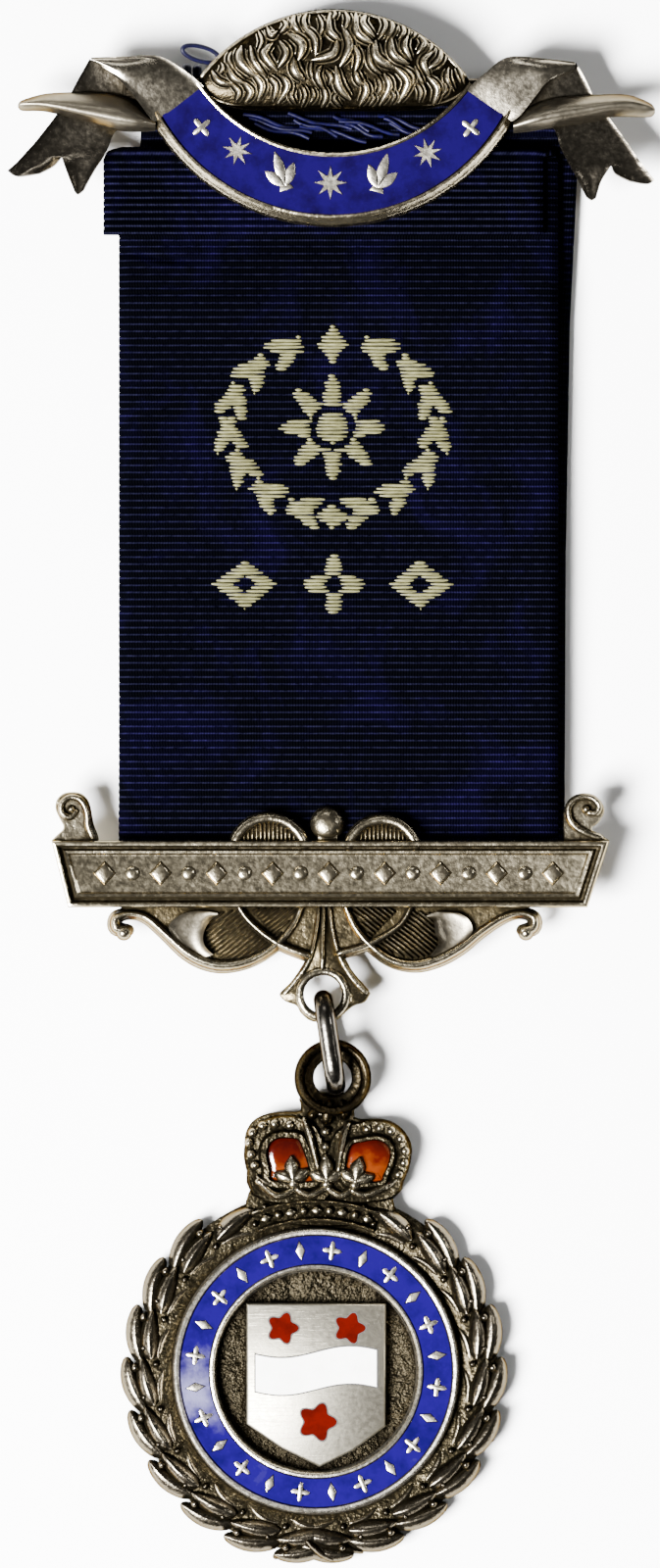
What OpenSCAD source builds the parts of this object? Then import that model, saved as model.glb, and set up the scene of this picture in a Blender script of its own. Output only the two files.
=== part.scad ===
// A fraternal jewel of silver, enamel and ribbon, lying on its back: X to the right, Y towards
// the brooch, Z up from the surface. The origin is under the middle of the whole jewel.

/* [Ribbon] */
// Width of the ribbon
ribbon_w = 38.1; // [37.5:0.1:38.3]
// Thickness of one layer of the ribbon
ribbon_t = 1.0; // [0.8:0.05:1.0]
// Height of the bar that the ribbon hangs from, along Y
hanger_y = 58.0; // [57.8:0.1:58.2]
// Place of the rear bar that the ribbon goes round below, along Y
crossbar_y = -7.6; // [-7.8:0.1:-7.4]

/* [Brooch] */
// Underside of the struck brooch
brooch_z = 3.6; // [3.55:0.05:3.8]
// Thickness of the banner with its rims
banner_t = 1.4; // [1.2:0.1:1.8]
// Width of the silver rim round the banner's enamel
banner_rim = 0.45; // [0.3:0.05:0.6]
// Rise of the hair dome above its foot
dome_h = 2.2; // [1.6:0.1:2.6]
// Rows of hair on the dome
hair_rows = 3; // [2:1:4]
// Spacing of the locks of hair
hair_pitch = 1.14; // [1.14:0.02:1.2]
// Radius of the hidden pin's wire
pin_r = 0.45; // [0.35:0.05:0.5]

/* [Lower bar] */
// Underside of the framed plate
plate_z = 3.2; // [3.15:0.05:3.4]
// Thickness of the framed plate at its rim
plate_t = 1.7; // [1.4:0.1:2.0]
// Radius of the hole for the link
eyelet_hole_r = 1.65; // [1.6:0.05:1.7]

/* [Link] */
// Radius of the link's wire
link_wire_r = 0.85; // [0.7:0.05:0.85]
// Length of the link between its wire's centre lines
link_l = 7.5; // [7.4:0.05:7.6]
// Height of the link between its wire's centre lines
link_h = 4.3; // [4.2:0.05:4.5]

/* [Medal] */
// Radius of the medal's body under the wreath
medal_r = 15.7; // [15.2:0.1:15.9]
// Thickness of the medal's body
medal_t = 1.7; // [1.5:0.1:2.0]
// Inner and outer radius of the enamel ring
ring_in = 9.3; // [9.1:0.1:9.4]
ring_out = 11.8; // [11.7:0.1:11.9]
// Height of the two rims and the enamel between them
rim_z = 2.9; // [2.7:0.1:3.1]
// Clusters of laurel on each side of the wreath
clusters = 9; // [7:1:10]
// Pieces of ornament round the enamel ring
ring_motifs = 24; // [12:2:28]

/* [Enamel] */
// Clearance between an enamel and its silver cell
cell_gap = 0.04; // [0.02:0.01:0.06]
// Depth of an enamel cell
cell_depth = 0.6; // [0.4:0.1:0.8]

/* [Hidden] */
SILVER = [0.66, 0.63, 0.55];
DARK_SILVER = [0.42, 0.38, 0.3];
COBALT = [0.08, 0.02, 0.72];
NAVY = [0.05, 0.05, 0.18];
RED = [0.62, 0.12, 0.03];
WHITE = [0.96, 0.95, 0.92];
sink = 0.25;
medal_c = [-1.28, -50.87];
brooch_top = brooch_z + banner_t;
plate_top = plate_z + plate_t;

// One point of a smooth curve through four rows of a table, at t from 0 to 1 between b and c
function curve_point(a, b, c, d, t) =
    let (line = (c - a) * t, square = (2 * a - 5 * b + 4 * c - d) * t * t)
    0.5 * (2 * b + line + square + (3 * b - a - 3 * c + d) * t * t * t);

// A table's rows joined by a smooth curve, with steps new rows in each span
function smooth(rows, steps) = [
    for (i = [0 : len(rows) - 2]) for (j = [0 : steps - 1])
        curve_point(rows[max(i - 1, 0)], rows[i], rows[i + 1], rows[min(i + 2, len(rows) - 1)], j / steps),
    rows[len(rows) - 1]];

// Area inside a closed loop, positive if it runs anticlockwise
function signed_area(loop) = let (n = len(loop))
    [for (i = [0 : n - 1]) loop[i][0] * loop[(i + 1) % n][1] - loop[(i + 1) % n][0] * loop[i][1]]
    * [for (i = [0 : n - 1]) 0.5];

function reversed(list) = [for (i = [len(list) - 1 : -1 : 0]) list[i]];

// The way that a table of points runs at its row i, of length 1
function direction(rows, i) =
    let (a = rows[max(i - 1, 0)], b = rows[min(i + 1, len(rows) - 1)], d = [b[0] - a[0], b[1] - a[1]])
    d / norm(d);

// A relief over a grid of [x, y, z] rows, closed down to a flat foot
module relief(rows, foot) {
    m = len(rows);
    n = len(rows[0]);
    top = [for (row = rows) for (p = row) p];
    rim = concat([for (j = [0 : n - 1]) j], [for (i = [1 : m - 1]) i * n + n - 1],
                 [for (j = [n - 2 : -1 : 0]) (m - 1) * n + j], [for (i = [m - 2 : -1 : 1]) i * n]);
    count = len(rim);
    base = m * n;
    ground = [for (k = rim) [top[k][0], top[k][1], foot]];
    ccw = signed_area([for (k = rim) top[k]]) > 0;
    faces = concat(
        [for (i = [0 : m - 2]) for (j = [0 : n - 2]) [i * n + j, (i + 1) * n + j, (i + 1) * n + j + 1]],
        [for (i = [0 : m - 2]) for (j = [0 : n - 2]) [i * n + j, (i + 1) * n + j + 1, i * n + j + 1]],
        [for (k = [0 : count - 1]) [rim[k], rim[(k + 1) % count], base + (k + 1) % count, base + k]],
        [[for (k = [0 : count - 1]) base + k]]);
    polyhedron(concat(top, ground), ccw ? faces : [for (f = faces) reversed(f)], convexity = 6);
}

// A rounded strip of metal along a table of [x, y, foot, width, rise]
module strip(rows, sides = 4) {
    m = len(rows);
    n = sides + 1;
    points = [for (i = [0 : m - 1]) let (r = rows[i], d = direction(rows, i))
        for (k = [0 : sides]) let (a = 180 * k / sides)
            [r[0] - d[1] * cos(a) * r[3] / 2, r[1] + d[0] * cos(a) * r[3] / 2, r[2] + sin(a) * r[4]]];
    faces = concat(
        [[for (k = [0 : sides]) k]],
        [[for (k = [sides : -1 : 0]) (m - 1) * n + k]],
        [for (i = [0 : m - 2]) for (k = [0 : sides])
            [i * n + k, (i + 1) * n + k, (i + 1) * n + (k + 1) % n]],
        [for (i = [0 : m - 2]) for (k = [0 : sides])
            [i * n + k, (i + 1) * n + (k + 1) % n, i * n + (k + 1) % n]]);
    polyhedron(points, faces, convexity = 4);
}

// A small cast bead
module bead(x, y, foot, r, rise) {
    hull() translate([x, y, foot]) cylinder(r1 = r, r2 = r * 0.55, h = rise, $fn = 6);
}

// A square post between two heights, its lower edges softened by post_round across and post_up in height
post_round = 0.12;
post_up = 0.15;

module post(x, y, size, low, high) {
    foot = [size[0] - 2 * post_round, size[1] - 2 * post_round];
    hull() {
        translate([x - size[0] / 2, y - size[1] / 2, low + post_up])
            cube([size[0], size[1], high - low - post_up]);
        translate([x - foot[0] / 2, y - foot[1] / 2, low]) cube([foot[0], foot[1], post_up + 0.05]);
    }
}

// Ornament of the enamels, all plain traditional forms: four lobes, a lozenge and an eight-pointed star
module quatrefoil(r) {
    polygon([for (i = [0 : 11]) let (a = i * 30) r * (0.66 + 0.34 * cos(4 * a)) * [cos(a), sin(a)]]);
}

module lozenge(w, h) {
    polygon([[-w / 2, 0], [0, -h / 2], [w / 2, 0], [0, h / 2]]);
}

module star(r) {
    polygon([for (i = [0 : 15]) let (a = i * 22.5) (i % 2 == 0 ? r : r * 0.42) * [cos(a), sin(a)]]);
}

// A sprig of three leaves on a short foot
module sprig(h) {
    lean = 36;
    leaf_w = 0.24 * h;
    for (side = [-1, 0, 1])
        translate([0, -0.39 * h]) rotate(-side * lean)
            polygon([for (i = [0 : 7]) let (a = i * 45, l = side == 0 ? 0.445 * h : 0.31 * h)
                [sin(a) * leaf_w / 2, l - cos(a) * l]]);
    translate([0, -0.42 * h]) square([0.36 * h, 0.12 * h], center = true);
}

// Brooch

// Centre and radius of the banner's lower and upper edges
under_c = [0.13, 66.3];
under_r = 17.94;
over_c = [0.3, 69.02];
over_r = 14.2;

// The field that holds the whole banner, its enamel and its rims, cut off at the folds
banner_ends = [[-9.9, 62.0], [-16.7, 57.2], [-17, 45], [17, 45], [17.3, 57.2], [10.4, 61.9]];
enamel_ends = [[-9.4, 61.4], [-11.1, 60.2], [-14.7, 57.7], [-17, 56.1], [-17, 45], [17, 45], [17, 56.5],
               [15.3, 57.6], [11.7, 60.0], [9.5, 61.5]];
rim_ends = [[-9.6, 61.7], [-16.2, 57.05], [-17, 45], [17, 45], [16.8, 57.05], [10.1, 61.6]];
// How far the rims stand in from the banner's edge
rim_step = 0.15;

// The space between the two edges, moved in by a distance, within a field
module banner_outline(inset, ends) {
    difference() {
        intersection() {
            translate(under_c) circle(r = under_r - inset, $fn = 64);
            polygon(ends);
        }
        translate(over_c) circle(r = over_r + inset, $fn = 64);
    }
}

// The banner's ornaments: [x, y, turn, kind, size]
banner_motifs = [
    [-11.2, 56.95, 40, "quatrefoil", 0.95],
    [-8.1, 54.95, 31, "star", 1.35],
    [-4.35, 53.15, 17, "sprig", 3.6],
    [-0.05, 52.15, 0, "star", 1.5],
    [4.4, 53.0, -16, "sprig", 3.6],
    [8.35, 54.75, -30, "star", 1.35],
    [12.1, 56.9, -38, "quatrefoil", 0.95]];

module banner_motif(row, gap) {
    translate([row[0], row[1]]) rotate(row[2]) offset(delta = gap)
        if (row[3] == "sprig") sprig(row[4]);
        else if (row[3] == "star") star(row[4]);
        else quatrefoil(row[4]);
}

module banner() {
    bed = banner_t - cell_depth;
    linear_extrude(height = bed, convexity = 4) banner_outline(0, banner_ends);
    translate([0, 0, bed - sink]) linear_extrude(height = cell_depth + sink, convexity = 8) {
        difference() {
            banner_outline(rim_step, rim_ends);
            banner_outline(banner_rim, enamel_ends);
        }
        for (row = banner_motifs) banner_motif(row, 0);
    }
}

// Folded ends of the banner: rows of [x, y, z] from the enamel outwards
fold_left = [
    [[-11.0, 60.5, 4.9], [-12.4, 59.5, 5.0], [-13.7, 58.5, 5.0], [-15.35, 57.35, 4.9]],
    [[-12.6, 61.8, 5.1], [-13.7, 60.9, 5.3], [-14.8, 59.9, 5.3], [-15.9, 58.1, 5.1]],
    [[-14.9, 63.1, 5.0], [-15.6, 62.2, 5.4], [-16.4, 61.1, 5.5], [-17.1, 59.7, 5.3]],
    [[-17.6, 63.1, 4.9], [-17.9, 62.5, 5.4], [-18.2, 61.8, 5.6], [-18.4, 61.1, 5.4]],
    [[-20.8, 63.0, 4.7], [-20.75, 62.9, 4.9], [-20.65, 62.8, 5.0], [-20.5, 62.65, 4.9]]];
fold_right = [
    [[11.7, 60.2, 4.9], [13.0, 59.3, 5.0], [14.3, 58.4, 5.0], [15.65, 57.45, 4.9]],
    [[13.3, 61.6, 5.1], [14.4, 60.6, 5.3], [15.4, 59.6, 5.3], [16.4, 58.0, 5.1]],
    [[15.2, 63.0, 5.0], [15.9, 62.1, 5.4], [16.7, 61.0, 5.5], [17.6, 59.5, 5.3]],
    [[18.0, 62.95, 4.9], [18.3, 62.4, 5.4], [18.6, 61.8, 5.6], [18.9, 61.0, 5.4]],
    [[21.1, 62.6, 4.7], [21.15, 62.4, 4.9], [21.15, 62.2, 5.0], [21.1, 61.9, 4.9]]];

// Forked tails: rows of [x, y, z] across, the body first, then the two points of the fork
tail_left = [
    [[-20.9, 62.9, 4.4], [-20.3, 62.6, 4.3], [-19.2, 62.2, 4.2], [-17.6, 61.8, 4.2]],
    [[-21.8, 61.3, 4.3], [-20.4, 61.0, 4.0], [-18.5, 60.6, 3.9], [-16.2, 60.2, 4.0]],
    [[-22.6, 59.8, 4.4], [-21.0, 59.2, 4.0], [-18.8, 58.7, 3.9], [-16.4, 58.3, 4.0]],
    [[-23.8, 58.0, 4.6], [-22.3, 57.6, 4.2], [-20.3, 57.2, 4.1], [-18.6, 56.7, 4.5]],
    [[-25.5, 55.8, 4.8], [-24.0, 55.4, 4.3], [-21.7, 55.3, 4.2], [-19.3, 55.2, 4.7]],
    [[-26.3, 54.9, 4.9], [-24.6, 54.5, 4.4], [-23.3, 54.0, 4.8], [-19.9, 54.1, 4.8]]];
fork_left_outer = [
    [[-26.1, 55.1, 4.9], [-25.2, 54.9, 4.4], [-24.2, 54.6, 4.5], [-23.1, 54.2, 4.8]],
    [[-27.1, 54.0, 5.0], [-26.3, 53.7, 4.6], [-25.4, 53.5, 4.7], [-24.0, 53.6, 5.0]],
    [[-28.0, 53.2, 5.1], [-27.6, 52.8, 5.0], [-26.6, 52.65, 5.0], [-25.2, 52.95, 5.0]]];
fork_left_inner = [
    [[-23.4, 54.2, 4.8], [-22.2, 54.3, 4.5], [-21.0, 54.4, 4.5], [-19.8, 54.3, 4.8]],
    [[-22.8, 52.9, 5.0], [-22.2, 52.9, 4.7], [-21.4, 52.9, 4.7], [-20.6, 53.0, 5.0]],
    [[-22.2, 51.4, 5.1], [-22.0, 51.2, 5.0], [-21.8, 51.15, 5.0], [-21.4, 51.5, 5.1]]];
tail_right = [
    [[21.2, 62.6, 4.4], [20.7, 62.1, 4.3], [19.6, 61.8, 4.2], [18.0, 61.5, 4.2]],
    [[22.0, 61.2, 4.3], [20.7, 60.9, 4.0], [18.9, 60.4, 3.9], [16.7, 60.0, 4.0]],
    [[22.8, 59.6, 4.4], [21.5, 59.1, 4.0], [19.4, 58.6, 3.9], [17.0, 58.2, 4.0]],
    [[24.1, 57.8, 4.6], [22.8, 57.5, 4.2], [21.0, 57.3, 4.1], [19.2, 57.0, 4.5]],
    [[25.4, 56.0, 4.8], [24.0, 55.5, 4.3], [22.0, 55.3, 4.2], [19.9, 55.2, 4.7]],
    [[26.6, 54.2, 4.9], [25.4, 53.8, 4.4], [24.0, 53.3, 4.8], [20.8, 53.5, 4.8]]];
fork_right_outer = [
    [[26.4, 54.5, 4.9], [25.6, 54.1, 4.4], [24.8, 53.8, 4.5], [23.8, 53.5, 4.8]],
    [[27.3, 53.3, 5.0], [26.6, 52.9, 4.6], [25.8, 52.7, 4.7], [24.6, 52.95, 5.0]],
    [[28.0, 52.4, 5.1], [27.7, 52.1, 5.0], [27.0, 52.0, 5.0], [25.8, 52.3, 5.0]]];
fork_right_inner = [
    [[24.1, 53.5, 4.8], [23.0, 53.6, 4.5], [21.9, 53.7, 4.5], [20.7, 53.7, 4.8]],
    [[23.4, 52.3, 5.0], [22.9, 52.3, 4.7], [22.2, 52.3, 4.7], [21.4, 52.4, 5.0]],
    [[22.95, 50.85, 5.1], [22.7, 50.65, 5.0], [22.4, 50.65, 5.0], [22.1, 50.95, 5.1]]];
tail_parts = [tail_left, fork_left_outer, fork_left_inner, tail_right, fork_right_outer, fork_right_inner];
tail_foot = 3.55;

// Horns: rows of [x, upper edge y, ridge y, lower edge y, ridge z]
horn_left = [
    [-27.1, 58.98, 58.85, 58.7, 4.9],
    [-26.7, 59.35, 59.0, 58.42, 5.2],
    [-25.0, 59.85, 58.95, 58.38, 5.5],
    [-23.2, 60.0, 58.65, 58.0, 5.7],
    [-21.0, 60.0, 58.2, 57.45, 5.8],
    [-18.6, 59.75, 57.75, 56.75, 5.9],
    [-16.8, 59.0, 57.45, 56.6, 5.8],
    [-15.2, 57.6, 57.2, 56.7, 5.2]];
horn_right = [
    [28.05, 58.6, 58.4, 58.2, 4.9],
    [27.6, 59.1, 58.7, 57.88, 5.2],
    [25.9, 59.75, 58.95, 57.9, 5.5],
    [24.0, 59.85, 58.8, 57.85, 5.7],
    [21.6, 59.7, 58.4, 57.3, 5.8],
    [19.2, 59.5, 57.95, 56.95, 5.9],
    [17.3, 58.8, 57.5, 56.65, 5.8],
    [15.8, 57.5, 57.1, 56.5, 5.2]];
horn_edge_z = 4.1;

// A horn as two flanks that meet at its ridge
module horn(table) {
    relief([for (r = smooth(table, 2))
        [[r[0], r[1], horn_edge_z], [r[0], (r[1] + r[2]) / 2, (horn_edge_z + 2 * r[4]) / 3],
         [r[0], r[2], r[4]], [r[0], (r[2] + r[3]) / 2, (horn_edge_z + 3 * r[4]) / 4],
         [r[0], r[3], horn_edge_z]]], brooch_z + 0.1);
}

// Hair dome: a lens between a low arc and a high one
dome_c = [0.2, 52.9];
dome_r = 14.3;
dome_x = 11.9;
dome_foot = 3.55;
dome_edge_z = 4.3;

function dome_top(x) = dome_c[1] + sqrt(dome_r * dome_r - (x - dome_c[0]) * (x - dome_c[0]));
function dome_low(x) = 58.4 + 2.0 * pow(abs(x - dome_c[0]) / dome_x, 6);
function dome_z(x, v) = let (u = (x - dome_c[0]) / dome_x)
    dome_edge_z + dome_h * sqrt(max(0, 1 - u * u)) * sqrt(max(0, 1 - pow(2 * v - 1, 2) * 0.94));
function dome_y(x, v) = dome_low(x) + (dome_top(x) - dome_low(x)) * v;

// One lock of hair: an S-curve from top to bottom in a row of the dome
function lock(x, v_top, v_low, bend) = [for (t = [0 : 0.5 : 1])
    let (xx = x + bend * sin(t * 180) - 0.35 + 0.7 * t, v = v_top + (v_low - v_top) * t)
    [xx, dome_y(xx, v), dome_z(xx, v) - sink, 0.3 + 0.6 * sin(t * 180), sink + 0.2 + 0.3 * sin(t * 180)]];

module hair_dome() {
    relief([for (i = [0 : 16]) let (x = dome_c[0] + dome_x * sin(-90 + i * 11.25) * 0.992)
        [for (v = [0, 0.06, 0.22, 0.5, 0.78, 0.94, 1]) [x, dome_y(x, v), dome_z(x, v)]]], dome_foot);
    for (row = [0 : hair_rows - 1]) {
        v_low = 0.07 + row * 0.86 / hair_rows;
        v_top = v_low + 0.82 / hair_rows;
        reach = dome_x * sqrt(1 - pow((v_low + v_top) / 2.25, 2)) - 0.7;
        count = floor(reach / hair_pitch);
        for (i = [-count : count])
            strip(lock(dome_c[0] + (i + 0.25 * (row % 2)) * hair_pitch, min(v_top, 0.97), v_low,
                       0.38 + 0.18 * sin(i * 97 + row * 53)), 2);
    }
}

// Strap behind the dome that joins the banner's two ends
strap = [29, 0.9, 0.53];
strap_y = 60.75;
strap_low = dome_foot + 0.03;

// Hanger bar on its two posts
hanger_r = 0.5;
hanger_z = 1.85;
hanger_x = [-17.75, 22.75];
hanger_post = [0.9, 1.1];
hanger_post_low = hanger_z - 0.6;
hanger_post_top = brooch_z + 0.42;

// Pin hinge with its two ears, and the catch
pin_y = 60.9;
pin_z = 1.15;
hinge_x = -17.0;
catch_x = 17.3;
barrel_l = 0.9;
barrel_wall = 0.2;
ear = [1.7, 0.5];
ear_play = 0.1;
catch_block = [0.9, 1.9];
catch_play = 0.12;
catch_slot_l = 2;
fitting_top = brooch_z + 0.6;

// Solder pads between the fittings and the struck face
hanger_pad = [1.5, 1.6];
hinge_pad = [2.3, 2.6];
catch_pad = [2.0, 2.6];
pad_low = brooch_z - 0.25;
pad_top = brooch_z + 0.38;

module hanger() {
    translate([hanger_x[0], hanger_y, hanger_z]) rotate([0, 90, 0])
        cylinder(r = hanger_r, h = hanger_x[1] - hanger_x[0], $fn = 16);
    for (x = hanger_x) {
        post(x, hanger_y, hanger_post, hanger_post_low, hanger_post_top);
        post(x, hanger_y, hanger_pad, pad_low, pad_top);
    }
}

module hinge() {
    post(hinge_x, pin_y, hinge_pad, pad_low, pad_top);
    for (side = [-1, 1])
        post(hinge_x, pin_y + side * (barrel_l / 2 + ear_play + ear[1] / 2), ear, 0, fitting_top);
}

// A block with a slot for the pin, open towards the brooch's top
module catch() {
    post(catch_x, pin_y, catch_pad, pad_low, pad_top);
    difference() {
        post(catch_x, pin_y, catch_block, 0, fitting_top);
        translate([catch_x - catch_slot_l / 2, pin_y, pin_z]) {
            rotate([0, 90, 0]) cylinder(r = pin_r + catch_play, h = catch_slot_l, $fn = 16);
            cube([catch_slot_l, 2, pin_r]);
        }
    }
}

module brooch() {
    color(SILVER) union() {
        translate([0, 0, brooch_z]) banner();
        relief(fold_left, brooch_z);
        relief(fold_right, brooch_z);
        for (part = tail_parts) relief(part, tail_foot);
        horn(horn_left);
        horn(horn_right);
        hair_dome();
        hanger();
        hinge();
        catch();
        post(0, strap_y, strap, strap_low, strap_low + strap[2]);
    }
}

// The enamel's field, a little narrower than its cell
enamel_field = [for (p = enamel_ends) [p[0] * 0.997, p[1] - cell_gap]];

module scroll_enamel() {
    color(COBALT) translate([0, 0, brooch_top - cell_depth + cell_gap])
        linear_extrude(height = cell_depth - cell_gap, convexity = 8) difference() {
            banner_outline(banner_rim + cell_gap, enamel_field);
            for (row = banner_motifs) banner_motif(row, cell_gap);
        }
}

// The pin's point starts short of the catch and goes past it
tip_start = catch_x - 0.4;
tip_l = 1.8;
tip_r = 0.08;

module brooch_pin() {
    color(DARK_SILVER) {
        translate([hinge_x, pin_y, pin_z]) rotate([0, 90, 0])
            cylinder(r = pin_r, h = tip_start - hinge_x, $fn = 24);
        translate([tip_start, pin_y, pin_z]) rotate([0, 90, 0])
            cylinder(r1 = pin_r, r2 = tip_r, h = tip_l, $fn = 24);
        translate([hinge_x, pin_y - barrel_l / 2, pin_z]) rotate([-90, 0, 0])
            cylinder(r = pin_r + barrel_wall, h = barrel_l, $fn = 24);
    }
}

// Ribbon

// Radius of its roll on the hanger bar, of its turn round the rear bar, and of its hem
roll_r = 1.15;
foot_r = 1.0;
hem_r = 0.55;
hem_y = 54.35;
hem_z = 2.42;
crossbar_z = 1.55;
foot_y = crossbar_y - 0.3;

// The strip's middle line from the hem's cut end to the end rolled on the bar: [y, z, middle x]
ribbon_path = concat(
    [[47.7, hem_z + hem_r, -0.68], [51.0, hem_z + hem_r, -0.68]],
    [for (a = [90 : -30 : -90]) [hem_y + hem_r * cos(a), hem_z + hem_r * sin(a), -0.02 - 0.66 * a / 90]],
    [[47, 1.87, 0.65], [44.5, 2.2, 0.65], [42, 2.5, 0.65], [20, 2.55, 0.65], [0, 2.55, 0.65]],
    [for (a = [90 : 22.5 : 270])
        [foot_y + foot_r * cos(a), crossbar_z + foot_r * sin(a), 0.65 + 0.3 * (a - 90) / 180]],
    [[0, 0.55, 1.25], [20, 0.55, 1.35], [40, 0.6, 1.7], [54, 0.7, 2.4]],
    [for (a = [-90 : 22.5 : 90]) [hanger_y + roll_r * cos(a), hanger_z + roll_r * sin(a), 2.6]],
    [[56.2, 3.0, 2.6]]);

// A flat strip carried along its middle line
module ribbon() {
    m = len(ribbon_path);
    points = [for (i = [0 : m - 1]) let (p = ribbon_path[i], d = direction(ribbon_path, i), h = ribbon_t / 2)
        for (c = [[-1, 1], [1, 1], [1, -1], [-1, -1]])
            [p[2] + c[0] * ribbon_w / 2, p[0] + d[1] * h * c[1], p[1] - d[0] * h * c[1]]];
    faces = concat(
        [[3, 2, 1, 0]], [[for (k = [0 : 3]) (m - 1) * 4 + k]],
        [for (i = [0 : m - 2]) for (k = [0 : 3]) [i * 4 + k, (i + 1) * 4 + (k + 1) % 4, (i + 1) * 4 + k]],
        [for (i = [0 : m - 2]) for (k = [0 : 3])
            [i * 4 + k, i * 4 + (k + 1) % 4, (i + 1) * 4 + (k + 1) % 4]]);
    color(NAVY) polyhedron(points, faces, convexity = 10);
}

// Lower bar

// Edge of the plate, inner edge of its rim and edge of its sunk panel
plate_outline = [[-24.2, -4.8], [-22.75, -10.6], [22.2, -10.6], [24.1, -4.8]];
rim_outline = [[-23.6, -5.35], [-22.45, -10.1], [21.8, -10.1], [23.3, -5.35]];
panel_outline = [[-22.75, -5.95], [-21.85, -9.4], [21.2, -9.4], [22.3, -5.95]];
groove_depth = 0.7;
panel_depth = 0.3;
// Underside and thickness of the open work below the plate
work_z = 2.3;
work_t = 1.2;

module framed_plate() {
    difference() {
        translate([0, 0, plate_z]) linear_extrude(height = plate_t) polygon(plate_outline);
        translate([0, 0, plate_top - groove_depth]) linear_extrude(height = 1) difference() {
            polygon(rim_outline);
            polygon(panel_outline);
        }
        translate([0, 0, plate_top - panel_depth]) linear_extrude(height = 1) polygon(panel_outline);
    }
}

// Curled ears: outline of the left one, and the curl's ridge [x, y, foot, width, rise]
ear_left = [[-24.2, -4.8], [-23.7, -4.3], [-23.15, -3.7], [-23.5, -2.9], [-23.85, -2.1], [-23.75, -1.3],
            [-23.2, -0.75], [-22.4, -0.6], [-21.6, -0.75], [-21.0, -1.4], [-20.75, -2.3], [-20.55, -3.4],
            [-20.2, -4.3], [-20.1, -4.9]];
ear_right = [[24.1, -4.8], [23.3, -4.3], [22.6, -3.8], [23.2, -3.2], [23.65, -2.4], [23.5, -1.6],
             [22.9, -0.95], [22.1, -0.7], [21.2, -0.85], [20.5, -1.4], [20.15, -2.3], [20.1, -3.4],
             [20.15, -4.3], [20.15, -4.9]];
ear_ridge_left = [[-20.6, -4.6, 3.9, 0.7, 0.5], [-21.0, -3.6, 4.0, 0.7, 0.6], [-21.15, -2.3, 4.1, 0.6, 0.6],
                  [-21.7, -1.3, 4.1, 0.6, 0.6], [-22.6, -1.05, 4.1, 0.6, 0.6], [-23.3, -1.6, 4.1, 0.6, 0.6],
                  [-23.3, -2.4, 4.1, 0.6, 0.6], [-22.6, -2.8, 4.1, 0.6, 0.55], [-22.1, -2.3, 4.1, 0.5, 0.5]];
ear_ridge_right = [[23.3, -4.6, 3.9, 0.7, 0.5], [21.6, -3.9, 4.0, 0.7, 0.6], [20.7, -3.0, 4.1, 0.6, 0.6],
                   [20.6, -1.9, 4.1, 0.6, 0.6], [21.3, -1.15, 4.1, 0.6, 0.6], [22.4, -1.05, 4.1, 0.6, 0.6],
                   [23.2, -1.7, 4.1, 0.6, 0.6], [23.0, -2.4, 4.1, 0.6, 0.55], [22.3, -2.4, 4.1, 0.5, 0.5]];
ear_t = 0.95;
ears = [[ear_left, ear_ridge_left], [ear_right, ear_ridge_right]];

// Half-round arches that stand on the plate: [middle x, outer radius]
arches = [[-5.35, 3.65], [4.45, 3.5]];
arch_y = -6.0;
arch_band = 0.8;
arch_t = 1.3;
arch_bed_t = 0.8;
// The arch stands from this line, inside the plate's rim
arch_foot_y = 0.75;
arch_cut = [12, 12, 4];
// Reeds inside an arch: spacing, widths at foot and top, height of the foot
reed_pitch = 0.72;
reed_w = [0.4, 0.24];
reed_z = 0.6;

module arch(row) {
    inner = row[1] - arch_band;
    translate([row[0], arch_y, plate_z]) {
        difference() {
            union() {
                cylinder(r = inner, h = arch_bed_t, $fn = 32);
                rotate_extrude($fn = 32) translate([inner, 0]) square([arch_band, arch_t]);
            }
            translate([-arch_cut[0] / 2, arch_foot_y - arch_cut[1], -1]) cube(arch_cut);
        }
        for (k = [-3 : 3]) let (x = k * reed_pitch, top = sqrt(inner * inner - x * x)) hull() {
            translate([x - reed_w[1] / 2, 1.0, reed_z]) cube([reed_w[1], top - 0.9, 0.35]);
            translate([x - reed_w[0] / 2, 1.0, reed_z]) cube([reed_w[0], top - 0.9, 0.1]);
        }
    }
}

// Half ball between the arches, on its short foot: rows of [radius, height]
ball_c = [-0.3, -3.35];
ball_profile = [[0, 0], [1.5, 0], [1.45, 0.35], [1.15, 0.85], [0.6, 1.2], [0, 1.3]];
ball_foot = [1.8, 1.2, 0.8];
ball_foot_corner = [-1.2, -5.2];

module ball() {
    translate([ball_c[0], ball_c[1], plate_z]) rotate_extrude($fn = 16) polygon(ball_profile);
    translate([ball_foot_corner[0], ball_foot_corner[1], plate_z]) cube(ball_foot);
}

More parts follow.
